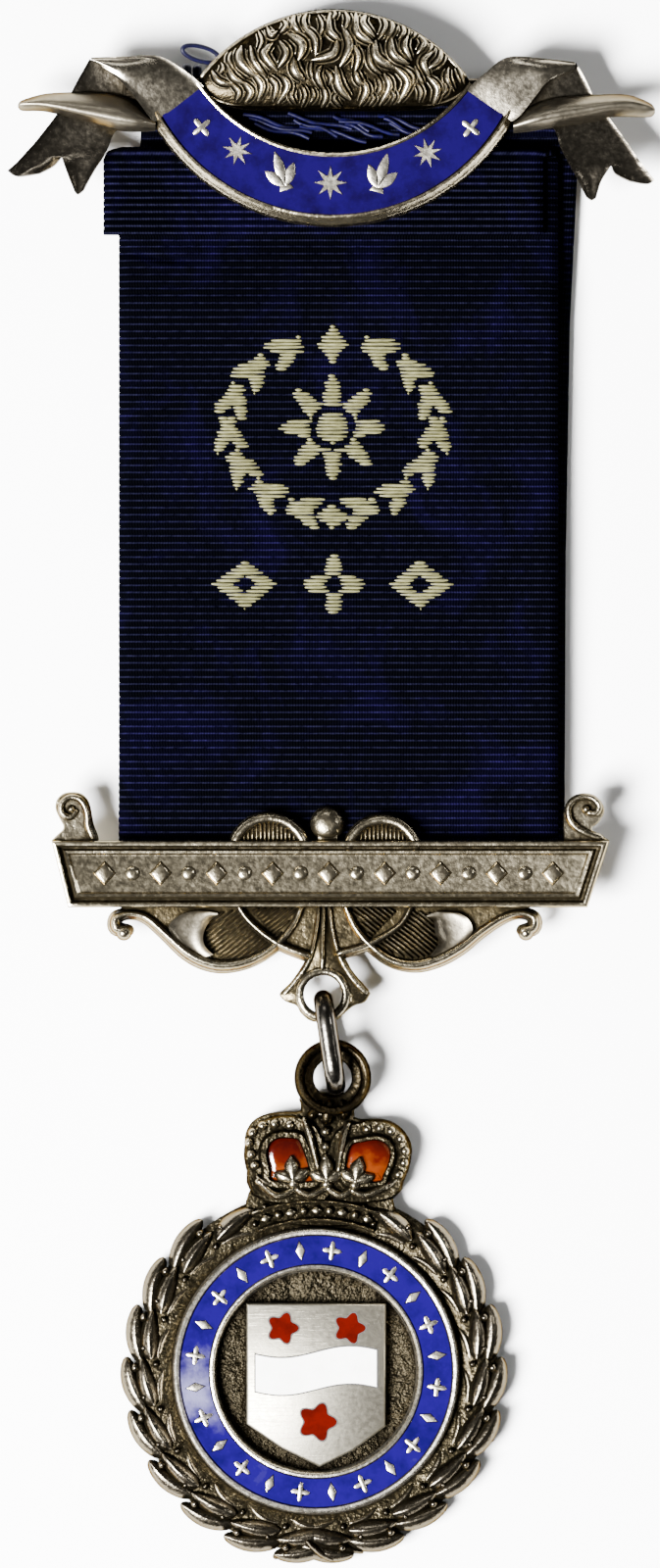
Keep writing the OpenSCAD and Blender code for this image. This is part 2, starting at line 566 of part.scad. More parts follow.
// Scrolls below the plate: ridges [x, y, foot, width, rise]
scroll_rows = [
    // the left wave, from its ball to the plate
    [[-17.6, -12.6, 2.6, 0.7, 1.2], [-18.6, -12.4, 2.5, 0.9, 1.3], [-18.6, -11.5, 2.5, 0.8, 1.3],
     [-17.4, -11.15, 2.5, 0.7, 1.3], [-16.0, -11.5, 2.5, 0.75, 1.3], [-14.4, -12.85, 2.5, 0.8, 1.4],
     [-12.5, -14.5, 2.5, 0.95, 1.4], [-10.8, -15.35, 2.5, 1.0, 1.4], [-9.0, -15.6, 2.5, 0.95, 1.4],
     [-6.8, -15.1, 2.5, 0.85, 1.4], [-4.7, -13.8, 2.5, 0.75, 1.5], [-3.3, -12.2, 2.5, 0.65, 1.4],
     [-2.5, -10.4, 2.5, 0.6, 1.4]],
    // the left cross stroke
    [[-8.1, -10.4, 2.5, 0.6, 1.4], [-7.0, -11.9, 2.5, 0.6, 1.4], [-4.7, -13.7, 2.5, 0.7, 1.5],
     [-2.0, -14.8, 2.5, 0.75, 1.5]],
    // the right wave
    [[16.6, -12.6, 2.6, 0.7, 1.2], [17.5, -12.4, 2.5, 0.9, 1.3], [17.55, -11.5, 2.5, 0.8, 1.3],
     [16.4, -11.1, 2.5, 0.7, 1.3], [14.9, -11.5, 2.5, 0.75, 1.3], [13.0, -12.7, 2.5, 0.8, 1.4],
     [11.2, -14.1, 2.5, 0.9, 1.4], [9.3, -15.1, 2.5, 0.95, 1.4], [7.3, -15.6, 2.5, 0.9, 1.4],
     [5.2, -15.2, 2.5, 0.8, 1.4], [3.3, -13.8, 2.5, 0.75, 1.5], [2.0, -12.2, 2.5, 0.65, 1.4],
     [1.2, -10.4, 2.5, 0.6, 1.4]],
    // the right cross stroke
    [[7.0, -10.4, 2.5, 0.6, 1.4], [5.9, -12.2, 2.5, 0.6, 1.4], [3.3, -13.8, 2.5, 0.7, 1.5],
     [0.7, -14.6, 2.5, 0.75, 1.5]]];

// Balls at the scrolls' ends and in the ears' eyes: [x, y, foot, radius, rise]
bar_beads = [[-17.95, -12.8, 2.4, 0.72, 1.7], [16.9, -12.8, 2.4, 0.72, 1.7],
             [-22.5, -2.1, plate_z, 0.45, 1.5], [22.1, -2.1, plate_z, 0.45, 1.5]];

// Plain grounds behind the scrolls
ground_left = [[-17.6, -10.3], [-16.2, -11.3], [-15.2, -12.0], [-13.4, -13.7], [-11.6, -15.0], [-9.2, -15.6],
               [-6.8, -15.0], [-4.6, -13.9], [-1.6, -14.6], [-1.4, -12.0], [-1.2, -10.3]];
ground_right = [[16.6, -10.3], [15.0, -11.3], [13.8, -12.0], [11.6, -13.8], [9.4, -15.1], [7.3, -15.6],
                [5.2, -15.1], [3.3, -13.9], [0.5, -14.4], [0.2, -12.0], [0.2, -10.3]];
ground_t = work_t - 0.13;

// Dished leaves: rows of [x, y, z] across
leaf_left = [
    [[-9.7, -11.3, 3.6], [-9.8, -11.2, 3.7], [-9.9, -11.1, 3.7], [-10.1, -11.0, 3.6]],
    [[-10.5, -11.8, 3.9], [-10.9, -11.5, 3.6], [-11.4, -11.2, 3.6], [-12.0, -10.95, 3.8]],
    [[-11.05, -12.9, 4.0], [-11.7, -12.6, 3.6], [-12.6, -12.2, 3.6], [-13.6, -11.6, 3.8]],
    [[-10.95, -13.9, 4.0], [-11.8, -13.8, 3.6], [-12.8, -13.5, 3.6], [-14.0, -12.6, 3.9]],
    [[-10.2, -14.7, 3.9], [-11.0, -14.9, 3.7], [-11.8, -14.8, 3.7], [-12.7, -14.4, 3.9]]];
leaf_right = [
    [[8.2, -11.45, 3.6], [8.4, -11.3, 3.7], [8.7, -11.15, 3.7], [9.1, -11.0, 3.6]],
    [[8.9, -11.8, 3.9], [9.5, -11.5, 3.6], [10.2, -11.2, 3.6], [11.0, -11.1, 3.8]],
    [[9.05, -12.9, 4.0], [9.9, -12.6, 3.6], [10.9, -12.3, 3.6], [12.0, -11.8, 3.8]],
    [[9.35, -13.7, 4.0], [10.1, -13.7, 3.6], [11.1, -13.4, 3.6], [12.2, -12.8, 3.9]],
    [[8.6, -14.8, 3.9], [9.3, -14.9, 3.7], [10.2, -14.6, 3.7], [11.1, -14.0, 3.9]]];

// Stem with its spread foot and the eyelet
stem_outline = [[-1.35, -10.2], [-1.7, -12.5], [-2.0, -14.5], [-2.6, -15.8], [-3.5, -17.1], [-4.4, -18.0],
                [-4.35, -18.4], [-3.9, -18.8], [-3.0, -19.15], [-2.6, -19.8], [-1.8, -20.45], [-0.7, -20.6],
                [0.4, -20.45], [1.3, -19.7], [2.0, -19.15], [2.9, -18.85], [3.3, -18.3], [3.3, -17.85],
                [2.0, -16.3], [1.2, -14.8], [0.6, -12.5], [0.2, -10.2]];
eyelet_c = [-0.7, -18.15];
stem_ridges = [
    [[-1.0, -10.4, 3.0, 0.45, 0.8], [-1.35, -13.0, 3.0, 0.45, 0.8], [-1.9, -15.2, 3.0, 0.5, 0.7],
     [-2.9, -16.8, 2.9, 0.6, 0.6], [-4.0, -18.1, 2.8, 0.5, 0.5]],
    [[-0.6, -10.4, 3.0, 0.4, 0.9], [-0.72, -13.2, 3.0, 0.45, 0.9], [-0.75, -15.9, 3.0, 0.5, 0.7]],
    [[-0.15, -10.4, 3.0, 0.45, 0.8], [0.2, -13.0, 3.0, 0.45, 0.8], [0.9, -15.2, 3.0, 0.5, 0.7],
     [1.9, -16.8, 2.9, 0.6, 0.6], [3.0, -18.0, 2.8, 0.5, 0.5]]];

stem_z = work_z + 0.1;
stem_t = work_t - 0.35;
eyelet_rim = [0.7, work_t - 0.15];

module stem() {
    difference() {
        union() {
            translate([0, 0, stem_z]) linear_extrude(height = stem_t) polygon(stem_outline);
            translate([eyelet_c[0], eyelet_c[1], stem_z]) rotate_extrude($fn = 26)
                translate([eyelet_hole_r, 0]) square(eyelet_rim);
            for (ridge = stem_ridges) strip(ridge, 2);
        }
        translate([eyelet_c[0], eyelet_c[1], 0]) cylinder(r = eyelet_hole_r, h = 8, $fn = 26);
    }
}

// Rear bar for the ribbon, on two posts
crossbar_x = [-19.75, 21.35];
crossbar_size = [1.0, 0.6];
crossbar_post = [0.9, 1.4];
crossbar_post_low = crossbar_z - 0.35;
crossbar_post_top = plate_z + 0.4;

module rear_bar() {
    translate([crossbar_x[0], crossbar_y - crossbar_size[0] / 2, crossbar_z - crossbar_size[1] / 2])
        cube([crossbar_x[1] - crossbar_x[0], crossbar_size[0], crossbar_size[1]]);
    for (x = crossbar_x) post(x, crossbar_y, crossbar_post, crossbar_post_low, crossbar_post_top);
}

module lower_bar() {
    color(SILVER) union() {
        framed_plate();
        for (side = ears) {
            translate([0, 0, plate_z]) linear_extrude(height = ear_t) polygon(side[0]);
            strip(smooth(side[1], 2), 3);
        }
        for (row = arches) arch(row);
        ball();
        for (row = scroll_rows) strip(smooth(row, 2), 3);
        for (b = bar_beads) bead(b[0], b[1], b[2], b[3], b[4]);
        for (side = [ground_left, ground_right])
            translate([0, 0, work_z]) linear_extrude(height = ground_t) polygon(side);
        relief(leaf_left, work_z + 0.1);
        relief(leaf_right, work_z + 0.1);
        stem();
        rear_bar();
    }
}

// Link

link_from = [-0.81, -17.77];
link_to = [0.55, -26.86];

// A long wire link that stands on its edge: two half rings and two straight wires
module jump_ring() {
    way = link_to - link_from;
    turn = atan2(way[1], way[0]);
    straight = link_l - link_h;
    middle = (link_from + link_to) / 2;
    color(DARK_SILVER) translate([middle[0], middle[1], link_h / 2 + link_wire_r]) rotate([0, 0, turn])
        rotate([90, 0, 0]) {
            for (side = [0, 180]) rotate(side) {
                translate([straight / 2, 0, 0]) rotate([0, 0, -90]) rotate_extrude(angle = 180, $fn = 48)
                    translate([link_h / 2, 0]) circle(r = link_wire_r, $fn = 24);
                translate([-straight / 2, link_h / 2, 0]) rotate([0, 90, 0])
                    cylinder(r = link_wire_r, h = straight, $fn = 24);
            }
        }
}

// Medal, in its own frame with the centre of the ring at the origin

module at_medal() {
    translate([medal_c[0], medal_c[1], 0]) children();
}

function polar(r, a) = [r * cos(a), r * sin(a)];

// Width of the rims beside the enamel ring, height of the sunk middle, depth of the shield's cells
rim_w = 0.5;
recess_z = 1.5;
shield_cell = 0.4;

// A leaf that follows the wreath: rows of [radius, angle, foot, width, rise]
function wreath_leaf(rows) = [for (r = rows) let (p = polar(r[0], r[1])) [p[0], p[1], r[2], r[3], r[4]]];

// Leaves of one cluster: [radius at foot, middle and tip, angle back to the foot, ahead to the tip,
// foot height, width, rise]
cluster_leaves = [
    [15.2, 15.85, 16.15, 16, 0.5, 0.5, 1.5, 1.6],
    [14.9, 15.35, 15.5, 15, -1.5, 1.2, 1.3, 1.7],
    [13.2, 13.6, 14.2, 14, -1.0, 1.2, 1.7, 1.9]];
// Berries: radius and angle of their place, then [foot, radius, rise]
berry_r = 15.45;
berry_ahead = 1.5;
berry = [1.4, 0.45, 1.35];
first_tip = 257.5;
tip_pitch = 16.4 * 9 / clusters;
wreath_c = [-0.2, 0];
// Stems that cross below: lean, place and the sizes of the broad part and its ridge
stem_lean = 14;
stem_c = [0, -14.6, 1.2];
stem_broad = [1.6, 2.6, 1.2];
stem_ridge = [1.2, 2.2, 2.3];

module cluster(tip, side) {
    for (leaf = cluster_leaves)
        strip(wreath_leaf([
            [leaf[0], tip + side * leaf[3], leaf[5], 0.4, leaf[7] * 0.6],
            [leaf[0] * 0.3 + leaf[1] * 0.7, tip + side * (leaf[3] * 0.5), leaf[5], leaf[6], leaf[7]],
            [leaf[2], tip - side * leaf[4], leaf[5], 0.3, leaf[7] * 0.7]]), 2);
    p = polar(berry_r, tip - side * berry_ahead);
    bead(p[0], p[1], berry[0], berry[1], berry[2]);
}

module wreath() {
    for (k = [0 : clusters - 1]) {
        cluster(first_tip - k * tip_pitch, 1);
        cluster(180 - first_tip + k * tip_pitch, -1);
    }
    for (turn = [-stem_lean, stem_lean]) rotate(turn) translate(stem_c)
        hull() {
            cube(stem_broad, center = true);
            cube(stem_ridge, center = true);
        }
}

// Shield
shield_outline = [[-6.05, 5.9], [6.05, 5.85], [6.0, -4.8], [3.2, -6.9], [0.3, -8.3], [-3.0, -6.7],
                  [-6.05, -4.6]];
shield_z = 2.6;
// The white band and the rosettes: [x, y, radius]
band_y = [-1.6, 1.7];
rosettes = [[-2.9, 3.75, 1.45], [2.9, 3.75, 1.45], [0.1, -4.4, 1.75]];

module band_outline(inset) {
    polygon(concat(
        [for (x = [-5.3 : 2.12 : 5.31]) [x * (1 - inset / 5.3), band_y[0] + inset + 0.5 * sin(x * 30)]],
        [for (x = [5.3 : -2.12 : -5.31]) [x * (1 - inset / 5.3), band_y[1] - inset + 0.5 * sin(x * 30)]]));
}

module rosette(row, inset) {
    translate([row[0], row[1]])
        polygon([for (i = [0 : 19]) let (a = i * 18, r = row[2] * (0.84 + 0.16 * cos(5 * a)) - inset)
            r * [cos(a), sin(a)]]);
}

module shield() {
    difference() {
        translate([0, 0, recess_z - 0.2]) linear_extrude(height = shield_z - recess_z + 0.2)
            polygon(shield_outline);
        translate([0, 0, shield_z - shield_cell]) linear_extrude(height = 1) {
            band_outline(0);
            for (row = rosettes) rosette(row, 0);
        }
    }
}

// Ornament round the ring: small quatrefoils and lozenges by turns
module ring_motif(i, gap) {
    rotate(90 - (i + 0.5) * 360 / ring_motifs) translate([(ring_in + ring_out) / 2, 0])
        offset(delta = gap) if (i % 2 == 0) quatrefoil(0.85); else lozenge(1.7, 0.8);
}

// The disc with its sunk middle, and the ring's two rims with the enamel's cell between them
module ring_body() {
    difference() {
        cylinder(r = medal_r, h = medal_t, $fn = 48);
        translate([0, 0, recess_z]) cylinder(r = ring_in - rim_w, h = 4, $fn = 48);
    }
    difference() {
        cylinder(r = ring_out + rim_w, h = rim_z, $fn = 48);
        translate([0, 0, rim_z - cell_depth]) difference() {
            cylinder(r = ring_out, h = 2, $fn = 48);
            translate([0, 0, -1]) cylinder(r = ring_in, h = 4, $fn = 48);
        }
        translate([0, 0, recess_z]) cylinder(r = ring_in - rim_w, h = 4, $fn = 48);
    }
    translate([0, 0, rim_z - cell_depth - 0.2]) linear_extrude(height = cell_depth + 0.2)
        for (i = [0 : ring_motifs - 1]) ring_motif(i, 0);
}

// Crown above the ring
crown_outline = [[-5.6, 13.4], [-5.9, 15.4], [-5.1, 16.6], [-5.6, 18.2], [-6.15, 19.4], [-6.15, 20.6],
                 [-5.5, 21.7], [-4.3, 22.3], [-2.9, 22.5], [-1.3, 22.6], [-1.2, 24.0], [3.3, 24.0],
                 [3.3, 22.0], [5.5, 21.9], [6.8, 21.5], [7.8, 20.6], [8.3, 19.4], [8.1, 18.0],
                 [7.5, 16.9], [6.6, 15.6], [6.4, 13.2], [0.4, 12.5]];
window_left = [[-3.9, 16.3], [-4.3, 17.6], [-4.55, 18.8], [-4.3, 19.8], [-3.5, 20.4], [-2.5, 20.5],
               [-1.4, 20.3], [-0.85, 19.2], [-0.4, 17.8], [-0.1, 16.3]];
window_right = [[2.6, 16.4], [2.5, 18.2], [2.95, 19.65], [4.1, 20.0], [5.2, 20.15], [6.1, 19.8],
                [6.5, 19.0], [6.35, 18.0], [5.9, 17.0], [5.5, 16.4]];
crown_z = 0.5;
crown_face = 2.7;
crown_foot = 1.95;
// Width of the lobe round a window, and width and height of the window's own rim
lobe_w = 1.5;
window_rim_w = 0.4;
window_rim_h = 0.3;
pearls = [[-2.3, 21.35], [-3.6, 21.45], [-4.65, 21.3], [-5.5, 20.7], [-5.8, 19.85], [-5.6, 18.85],
          [-5.3, 17.9], [4.4, 21.0], [5.5, 21.1], [6.5, 20.85], [7.3, 20.2], [7.7, 19.1], [7.6, 18.1],
          [7.15, 17.1], [0.8, 20.8], [0.8, 19.5], [0.8, 18.5]];
crown_bars = [
    [[-1.0, 21.8, 2.0, 0.6, 1.5], [-0.5, 20.2, 2.0, 0.75, 1.7], [0.15, 17.6, 2.0, 0.6, 1.5]],
    [[2.75, 21.4, 2.0, 0.6, 1.5], [2.3, 19.8, 2.0, 0.7, 1.7], [1.9, 17.4, 2.0, 0.6, 1.5]]];
// Leafy cross of the crown's foot: [x, y]
fleurs = [[-2.0, 16.9], [0.9, 16.7], [3.6, 16.9]];
fleur_petals = [[90, 1.35, 0.9], [175, 1.0, 0.95], [5, 1.0, 0.95]];
// Swags below them: [x, y] of the two ends and the low middle
swags = [
    [[-5.0, 16.5], [-3.4, 15.25], [-1.9, 15.8]],
    [[-1.7, 15.8], [-0.5, 15.3], [0.7, 15.9]],
    [[1.0, 15.9], [2.1, 15.25], [3.0, 15.7]],
    [[3.1, 15.7], [4.3, 15.3], [6.0, 16.0]]];

// The crown's circlet: radii of its two ridges and of the row of jewels between them
circlet_r = [13.15, 14.75];
jewel_r = 13.95;
// Room round a fleur in the windows' enamel
fleur_room = 1.45;

module fleur(p) {
    for (petal = fleur_petals) {
        tip = p + polar(petal[1], petal[0]);
        strip([[p[0], p[1], 2.0, 0.5, 1.6], [(p[0] + tip[0]) / 2, (p[1] + tip[1]) / 2, 2.0, petal[2], 1.5],
               [tip[0], tip[1], 2.0, 0.3, 1.1]], 2);
    }
}

// An outline moved away from its middle along each ray
function window_grown(outline, by) = let (n = len(outline),
    c = [for (k = [0, 1]) ([for (p = outline) p[k]] * [for (p = outline) 1]) / n])
    [for (p = outline) c + (p - c) * (1 + by / norm(p - c))];

module crown() {
    translate([0, 0, crown_z]) linear_extrude(height = crown_face - crown_z - cell_depth)
        polygon(crown_outline);
    for (side = [window_left, window_right]) {
        translate([0, 0, crown_face - cell_depth - 0.2])
            linear_extrude(height = cell_depth + 0.2) difference() {
            polygon(window_grown(side, lobe_w));
            polygon(side);
        }
        translate([0, 0, crown_face - 0.2]) linear_extrude(height = window_rim_h + 0.2) difference() {
            polygon(window_grown(side, window_rim_w));
            polygon(side);
        }
    }
    for (p = pearls) bead(p[0], p[1], crown_foot, 0.42, 1.45);
    for (bar = crown_bars) strip(smooth(bar, 2), 3);
    for (p = fleurs) fleur(p);
    for (swag = swags) strip([for (q = swag) [q[0], q[1], crown_foot, 0.7, 1.0]], 2);
    for (r = circlet_r)
        strip([for (a = [68 : 5.5 : 112]) let (p = polar(r, a)) [p[0], p[1], crown_foot, 0.55, 1.3]], 2);
    for (a = [72 : 4.6 : 108.9]) let (p = polar(jewel_r, a)) bead(p[0], p[1], crown_foot, 0.45, 1.05);
}

// Suspension loop above the crown
loop_c = [1.43, 25.47];
loop_r = 3.3;
loop_hole_r = 1.65;
loop_z = 2.0;
loop_section = [[loop_hole_r, 0.3], [loop_hole_r, 0.9], [2.3, 1.1], [2.45, 1.8], [2.9, 1.8], [loop_r, 1.1],
                [loop_r, 0.3]];
// Leaves at the loop's foot: rows of [x, y, foot, width, rise]
loop_leaves = [
    [[-0.4, 22.2, 1.6, 1.0, 1.7], [0.1, 22.9, 1.9, 0.8, 1.6], [0.3, 23.4, 2.1, 0.5, 1.3]],
    [[2.4, 22.2, 1.6, 1.0, 1.7], [2.3, 22.9, 1.9, 0.8, 1.6], [2.2, 23.4, 2.1, 0.5, 1.3]],
    [[0.9, 21.9, 2.2, 1.2, 1.2], [1.0, 22.5, 2.2, 1.3, 1.3], [1.2, 23.3, 2.2, 0.8, 1.0]]];
// Round room behind the loop for the link's back: how far above the loop's centre, and its radius
link_room_y = 2;
link_room_r = 4.4;

module loop() {
    translate([loop_c[0], loop_c[1], loop_z]) rotate_extrude($fn = 26) polygon(loop_section);
    for (rows = loop_leaves) strip(rows);
}

module medal() {
    color(SILVER) at_medal() difference() {
        union() {
            ring_body();
            translate([wreath_c[0], wreath_c[1], 0]) wreath();
            shield();
            crown();
            loop();
        }
        translate([loop_c[0], loop_c[1], -1]) cylinder(r = loop_hole_r, h = 8, $fn = 26);
        translate([loop_c[0], loop_c[1] + link_room_y, -1])
            cylinder(r = link_room_r, h = loop_z + 1, $fn = 26);
    }
}

module ring_enamel() {
    color(COBALT) at_medal() translate([0, 0, rim_z - cell_depth + cell_gap])
        linear_extrude(height = cell_depth - cell_gap, convexity = 8) difference() {
            circle(r = ring_out - cell_gap, $fn = 144);
            circle(r = ring_in + cell_gap, $fn = 144);
            for (i = [0 : ring_motifs - 1]) ring_motif(i, cell_gap);
        }
}

module crown_enamel(window) {
    color(RED) at_medal() translate([0, 0, crown_face - cell_depth + cell_gap])
        linear_extrude(height = cell_depth - 2 * cell_gap) difference() {
            polygon(window_grown(window, -cell_gap));
            for (p = fleurs) translate(p) circle(r = fleur_room, $fn = 16);
        }
}

module crown_enamel_left() {
    crown_enamel(window_left);
}

module crown_enamel_right() {
    crown_enamel(window_right);
}

module shield_enamel_white() {
    color(WHITE) at_medal() translate([0, 0, shield_z - shield_cell + cell_gap])
        linear_extrude(height = shield_cell - cell_gap) band_outline(cell_gap);
}

module shield_enamel_red(i) {
    color(RED) at_medal() translate([0, 0, shield_z - shield_cell + cell_gap])
        linear_extrude(height = shield_cell - cell_gap) rosette(rosettes[i - 1], cell_gap);
}

brooch();
scroll_enamel();
brooch_pin();
ribbon();
lower_bar();
jump_ring();
medal();
ring_enamel();
crown_enamel_left();
crown_enamel_right();
shield_enamel_white();
shield_enamel_red(1);  // shield_enamel_red_1
shield_enamel_red(2);  // shield_enamel_red_2
shield_enamel_red(3);  // shield_enamel_red_3
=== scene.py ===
"""A fraternal jewel of silver, enamel and ribbon that lies face up on a pale surface.

The tables hold millimetres in the part's own frame: X to the right, Y towards the brooch, Z up from
the surface. The medal's tables count from the centre of its ring. MM makes metres of them when a
mesh is made.
"""

import math

import bpy
import numpy as np
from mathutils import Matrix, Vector
from mathutils.geometry import tessellate_polygon


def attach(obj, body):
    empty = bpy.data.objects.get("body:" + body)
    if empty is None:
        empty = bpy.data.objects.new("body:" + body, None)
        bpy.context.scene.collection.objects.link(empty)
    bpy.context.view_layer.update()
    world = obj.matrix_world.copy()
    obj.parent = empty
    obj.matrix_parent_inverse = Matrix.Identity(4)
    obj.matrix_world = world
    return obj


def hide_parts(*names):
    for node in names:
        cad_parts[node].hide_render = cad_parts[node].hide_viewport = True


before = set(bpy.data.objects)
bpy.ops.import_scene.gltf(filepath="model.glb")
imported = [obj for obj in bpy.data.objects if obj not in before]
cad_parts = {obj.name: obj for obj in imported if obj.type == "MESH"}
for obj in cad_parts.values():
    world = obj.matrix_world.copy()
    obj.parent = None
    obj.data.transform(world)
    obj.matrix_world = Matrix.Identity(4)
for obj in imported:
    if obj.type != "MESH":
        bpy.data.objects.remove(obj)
MM = 0.001
MEDAL_CENTRE = np.array([-1.28, -50.87])
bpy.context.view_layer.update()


# Shapes: each is a pair of points in millimetres and a list of face arrays


def catmull(rows, steps):
    """Rows joined by a Catmull-Rom curve: 0.5 (2b + (c-a)t + (2a-5b+4c-d)t^2 + (3b-a-3c+d)t^3)."""
    rows = np.asarray(rows, float)
    padded = np.concatenate([rows[:1], rows, rows[-1:]])
    a, b, c, d = (padded[k : k + len(rows) - 1, None] for k in range(4))
    t = np.linspace(0, 1, steps, endpoint=False).reshape((1, -1) + (1,) * (rows.ndim - 1))
    curve = 0.5 * (2 * b + (c - a) * t + (2 * a - 5 * b + 4 * c - d) * t**2)
    curve = curve + 0.5 * (3 * b - a - 3 * c + d) * t**3
    return np.concatenate([curve.reshape((-1,) + rows.shape[1:]), rows[-1:]])


def round_loop(points, steps):
    """A closed loop through the points by the same curve, its ends joined."""
    points = np.asarray(points, float)
    wrapped = np.concatenate([points[-2:], points, points[:3]])
    return catmull(wrapped, steps)[2 * steps : (2 + len(points)) * steps]


def patch(rows, along, across):
    """A table of rows of points made smooth both ways."""
    fine = catmull(rows, along)
    return np.swapaxes(catmull(np.swapaxes(fine, 0, 1), across), 0, 1)


def grid_quads(rows, columns, closed=False):
    """Quads of a grid of points, the last column joined to the first if closed."""
    index = np.arange(rows * columns).reshape(rows, columns)
    here = index if closed else index[:, :-1]
    beside = np.roll(index, -1, axis=1) if closed else index[:, 1:]
    return np.stack([here[:-1], beside[:-1], beside[1:], here[1:]], axis=-1).reshape(-1, 4)


def signed_area(loop):
    """Half the sum of x y' - x' y along the loop, which is positive if it runs anticlockwise."""
    x, y = loop[:, 0], loop[:, 1]
    return 0.5 * np.sum(x * np.roll(y, -1) - np.roll(x, -1) * y)


def left_of(run):
    """Unit vectors square to flat directions, on their left."""
    run = run / np.maximum(np.linalg.norm(run, axis=1)[:, None], 1e-9)
    return np.stack([-run[:, 1], run[:, 0]], axis=1)


def at_height(flat, z):
    """Flat points, all set at one height."""
    return np.column_stack([flat, np.full(len(flat), z)])


def facing(points, faces, up):
    """Level faces, turned where needed to look up, or down."""
    corners = points[faces]
    tall = np.cross(corners[:, 1] - corners[:, 0], corners[:, 2] - corners[:, 0])[:, 2].sum()
    return faces if (tall > 0) == up else faces[:, ::-1]


def outward(points, faces):
    """Turns the faces if the volume they close is negative."""
    total = 0.0
    for face in faces:
        corners = points[face]
        fan = np.cross(corners[:, 1:-1], corners[:, 2:])
        total += np.einsum("ik,ijk->", corners[:, 0], fan)
    return points, faces if total > 0 else [face[:, ::-1] for face in faces]


def skin(loops):
    """Loops of points one after another, joined by walls, with the first and the last one closed."""
    rows, count = loops.shape[:2]
    ends = [np.arange(count)[None, ::-1], (np.arange(count) + (rows - 1) * count)[None]]
    return outward(loops.reshape(-1, 3), [grid_quads(rows, count, closed=True), *ends])


def hoop(loops):
    """Loops of points one after another, joined by walls, the last one to the first."""
    rows, count = loops.shape[:2]
    walls = grid_quads(rows + 1, count, closed=True) % (rows * count)
    return outward(loops.reshape(-1, 3), [walls])


def closed_down(points, quads, foot):
    """A face of quads and its copy at the height foot, with walls down from the open edges."""
    quads = facing(points, quads, True)
    edges = np.stack([quads, np.roll(quads, -1, axis=1)], axis=-1).reshape(-1, 2)
    n = len(points)
    code = edges.min(axis=1) * n + edges.max(axis=1)
    _, place, count = np.unique(code, return_inverse=True, return_counts=True)
    rim = edges[count[place] == 1]
    walls = np.stack([rim[:, 0], rim[:, 0] + n, rim[:, 1] + n, rim[:, 1]], axis=-1)
    return np.concatenate([points, at_height(points[:, :2], foot)]), [quads, quads[:, ::-1] + n, walls]


def relief(grid, foot):
    """A grid of points as the face of a slab that stands on the height foot."""
    rows, columns = grid.shape[:2]
    return closed_down(grid.reshape(-1, 3), grid_quads(rows, columns), foot)


def slab(flat, z, foot):
    """A relief from a grid of flat points and their heights, or the heights of its columns."""
    up = np.broadcast_to(z, flat.shape[:2])[..., None]
    return relief(np.concatenate([flat, up], axis=-1), foot)


def capped(rows):
    """The rows with three shorter ones beyond each end, which close it in a quarter round."""
    size, reach = np.array([[0.05, 0.5, 0.86], [1.0, 0.86, 0.5]])[..., None]
    caps = []
    for end, beside in ((0, 1), (-1, -2)):
        away = rows[end, :2] - rows[beside, :2]
        away = away / max(np.linalg.norm(away), 1e-6) * rows[end, 3] / 2
        cap = np.repeat(rows[end][None], 3, axis=0)
        cap[:, :2] += reach * away
        cap[:, 3:] *= size
        caps.append(cap)
    return np.concatenate([caps[0], rows, caps[1][::-1]])


def ridge(rows, around=8, power=0.8):
    """A ridge along rows of [x, y, foot, width, rise]: across w/2 cos a, up rise (sin a)^power.

    A power under 1 flattens its face, and one over 1 draws it up to a crest.
    """
    rows = capped(np.asarray(rows, float))
    side = left_of(np.gradient(rows[:, :2], axis=0))
    a = np.linspace(0, math.pi, around + 1)
    bulge = np.clip(np.sin(a), 0, 1) ** power
    flat = rows[:, None, :2] + side[:, None] * (np.cos(a)[None, :, None] * rows[:, None, 3:4] / 2)
    up = rows[:, None, 2] + bulge * rows[:, None, 4]
    return skin(np.concatenate([flat, up[..., None]], axis=-1))


def even_ridge(line, size, around=8, power=0.8):
    """A ridge along flat points, with one size of [foot, width, rise] from end to end."""
    return ridge(np.column_stack([line, np.full((len(line), 3), size)]), around, power)


def ridges(tables, steps, around=8, power=0.8):
    """A smooth ridge along each table of rows, in so many steps from row to row."""
    return [ridge(catmull(rows, steps), around, power) for rows in tables]


def full_turn(steps):
    """Angles spread evenly over one turn."""
    return np.arange(steps) / steps * 2 * math.pi


def tube(path, radius, around, closed=False):
    """A round wire: path + r (cos a n + sin a b), with n level and b square to n and to the path."""
    run = np.roll(path, -1, axis=0) - np.roll(path, 1, axis=0) if closed else np.gradient(path, axis=0)
    run /= np.linalg.norm(run, axis=1)[:, None]
    n = np.cross(run, [0.0, 0.0, 1.0])
    n /= np.linalg.norm(n, axis=1)[:, None]
    b = np.cross(run, n)
    a = full_turn(around)[:, None]
    loops = path[:, None] + radius * (np.cos(a) * n[:, None] + np.sin(a) * b[:, None])
    return hoop(loops) if closed else skin(loops)


def turned(section, centre, steps):
    """The points of a section of [radius, height] turned about the upright line through centre."""
    section = np.asarray(section, float)
    a = full_turn(steps)
    flat = np.asarray(centre) + np.stack([np.cos(a), np.sin(a)], axis=1)[:, None] * section[:, :1]
    up = np.broadcast_to(section[:, 1:], (steps, len(section), 1))
    return np.concatenate([flat, up], axis=-1)


def lathe(section, centre, steps):
    """A closed section of [radius, height] turned into a ring or a disc."""
    return hoop(turned(section, centre, steps))


def dome(profile, centre, steps=24):
    """A profile of [radius, height] turned from its flat foot up to a point in the middle."""
    rows = np.swapaxes(turned(profile[:-1], centre, steps), 0, 1)
    count = rows.shape[0] * steps
    last = np.arange(count - steps, count)
    cap = np.stack([last, np.roll(last, -1), np.full(steps, count)], axis=-1)
    walls = grid_quads(len(rows), steps, closed=True)
    points = np.concatenate([rows.reshape(-1, 3), [[*centre, profile[-1][1]]]])
    return outward(points, [walls, cap, np.arange(steps)[None, ::-1]])


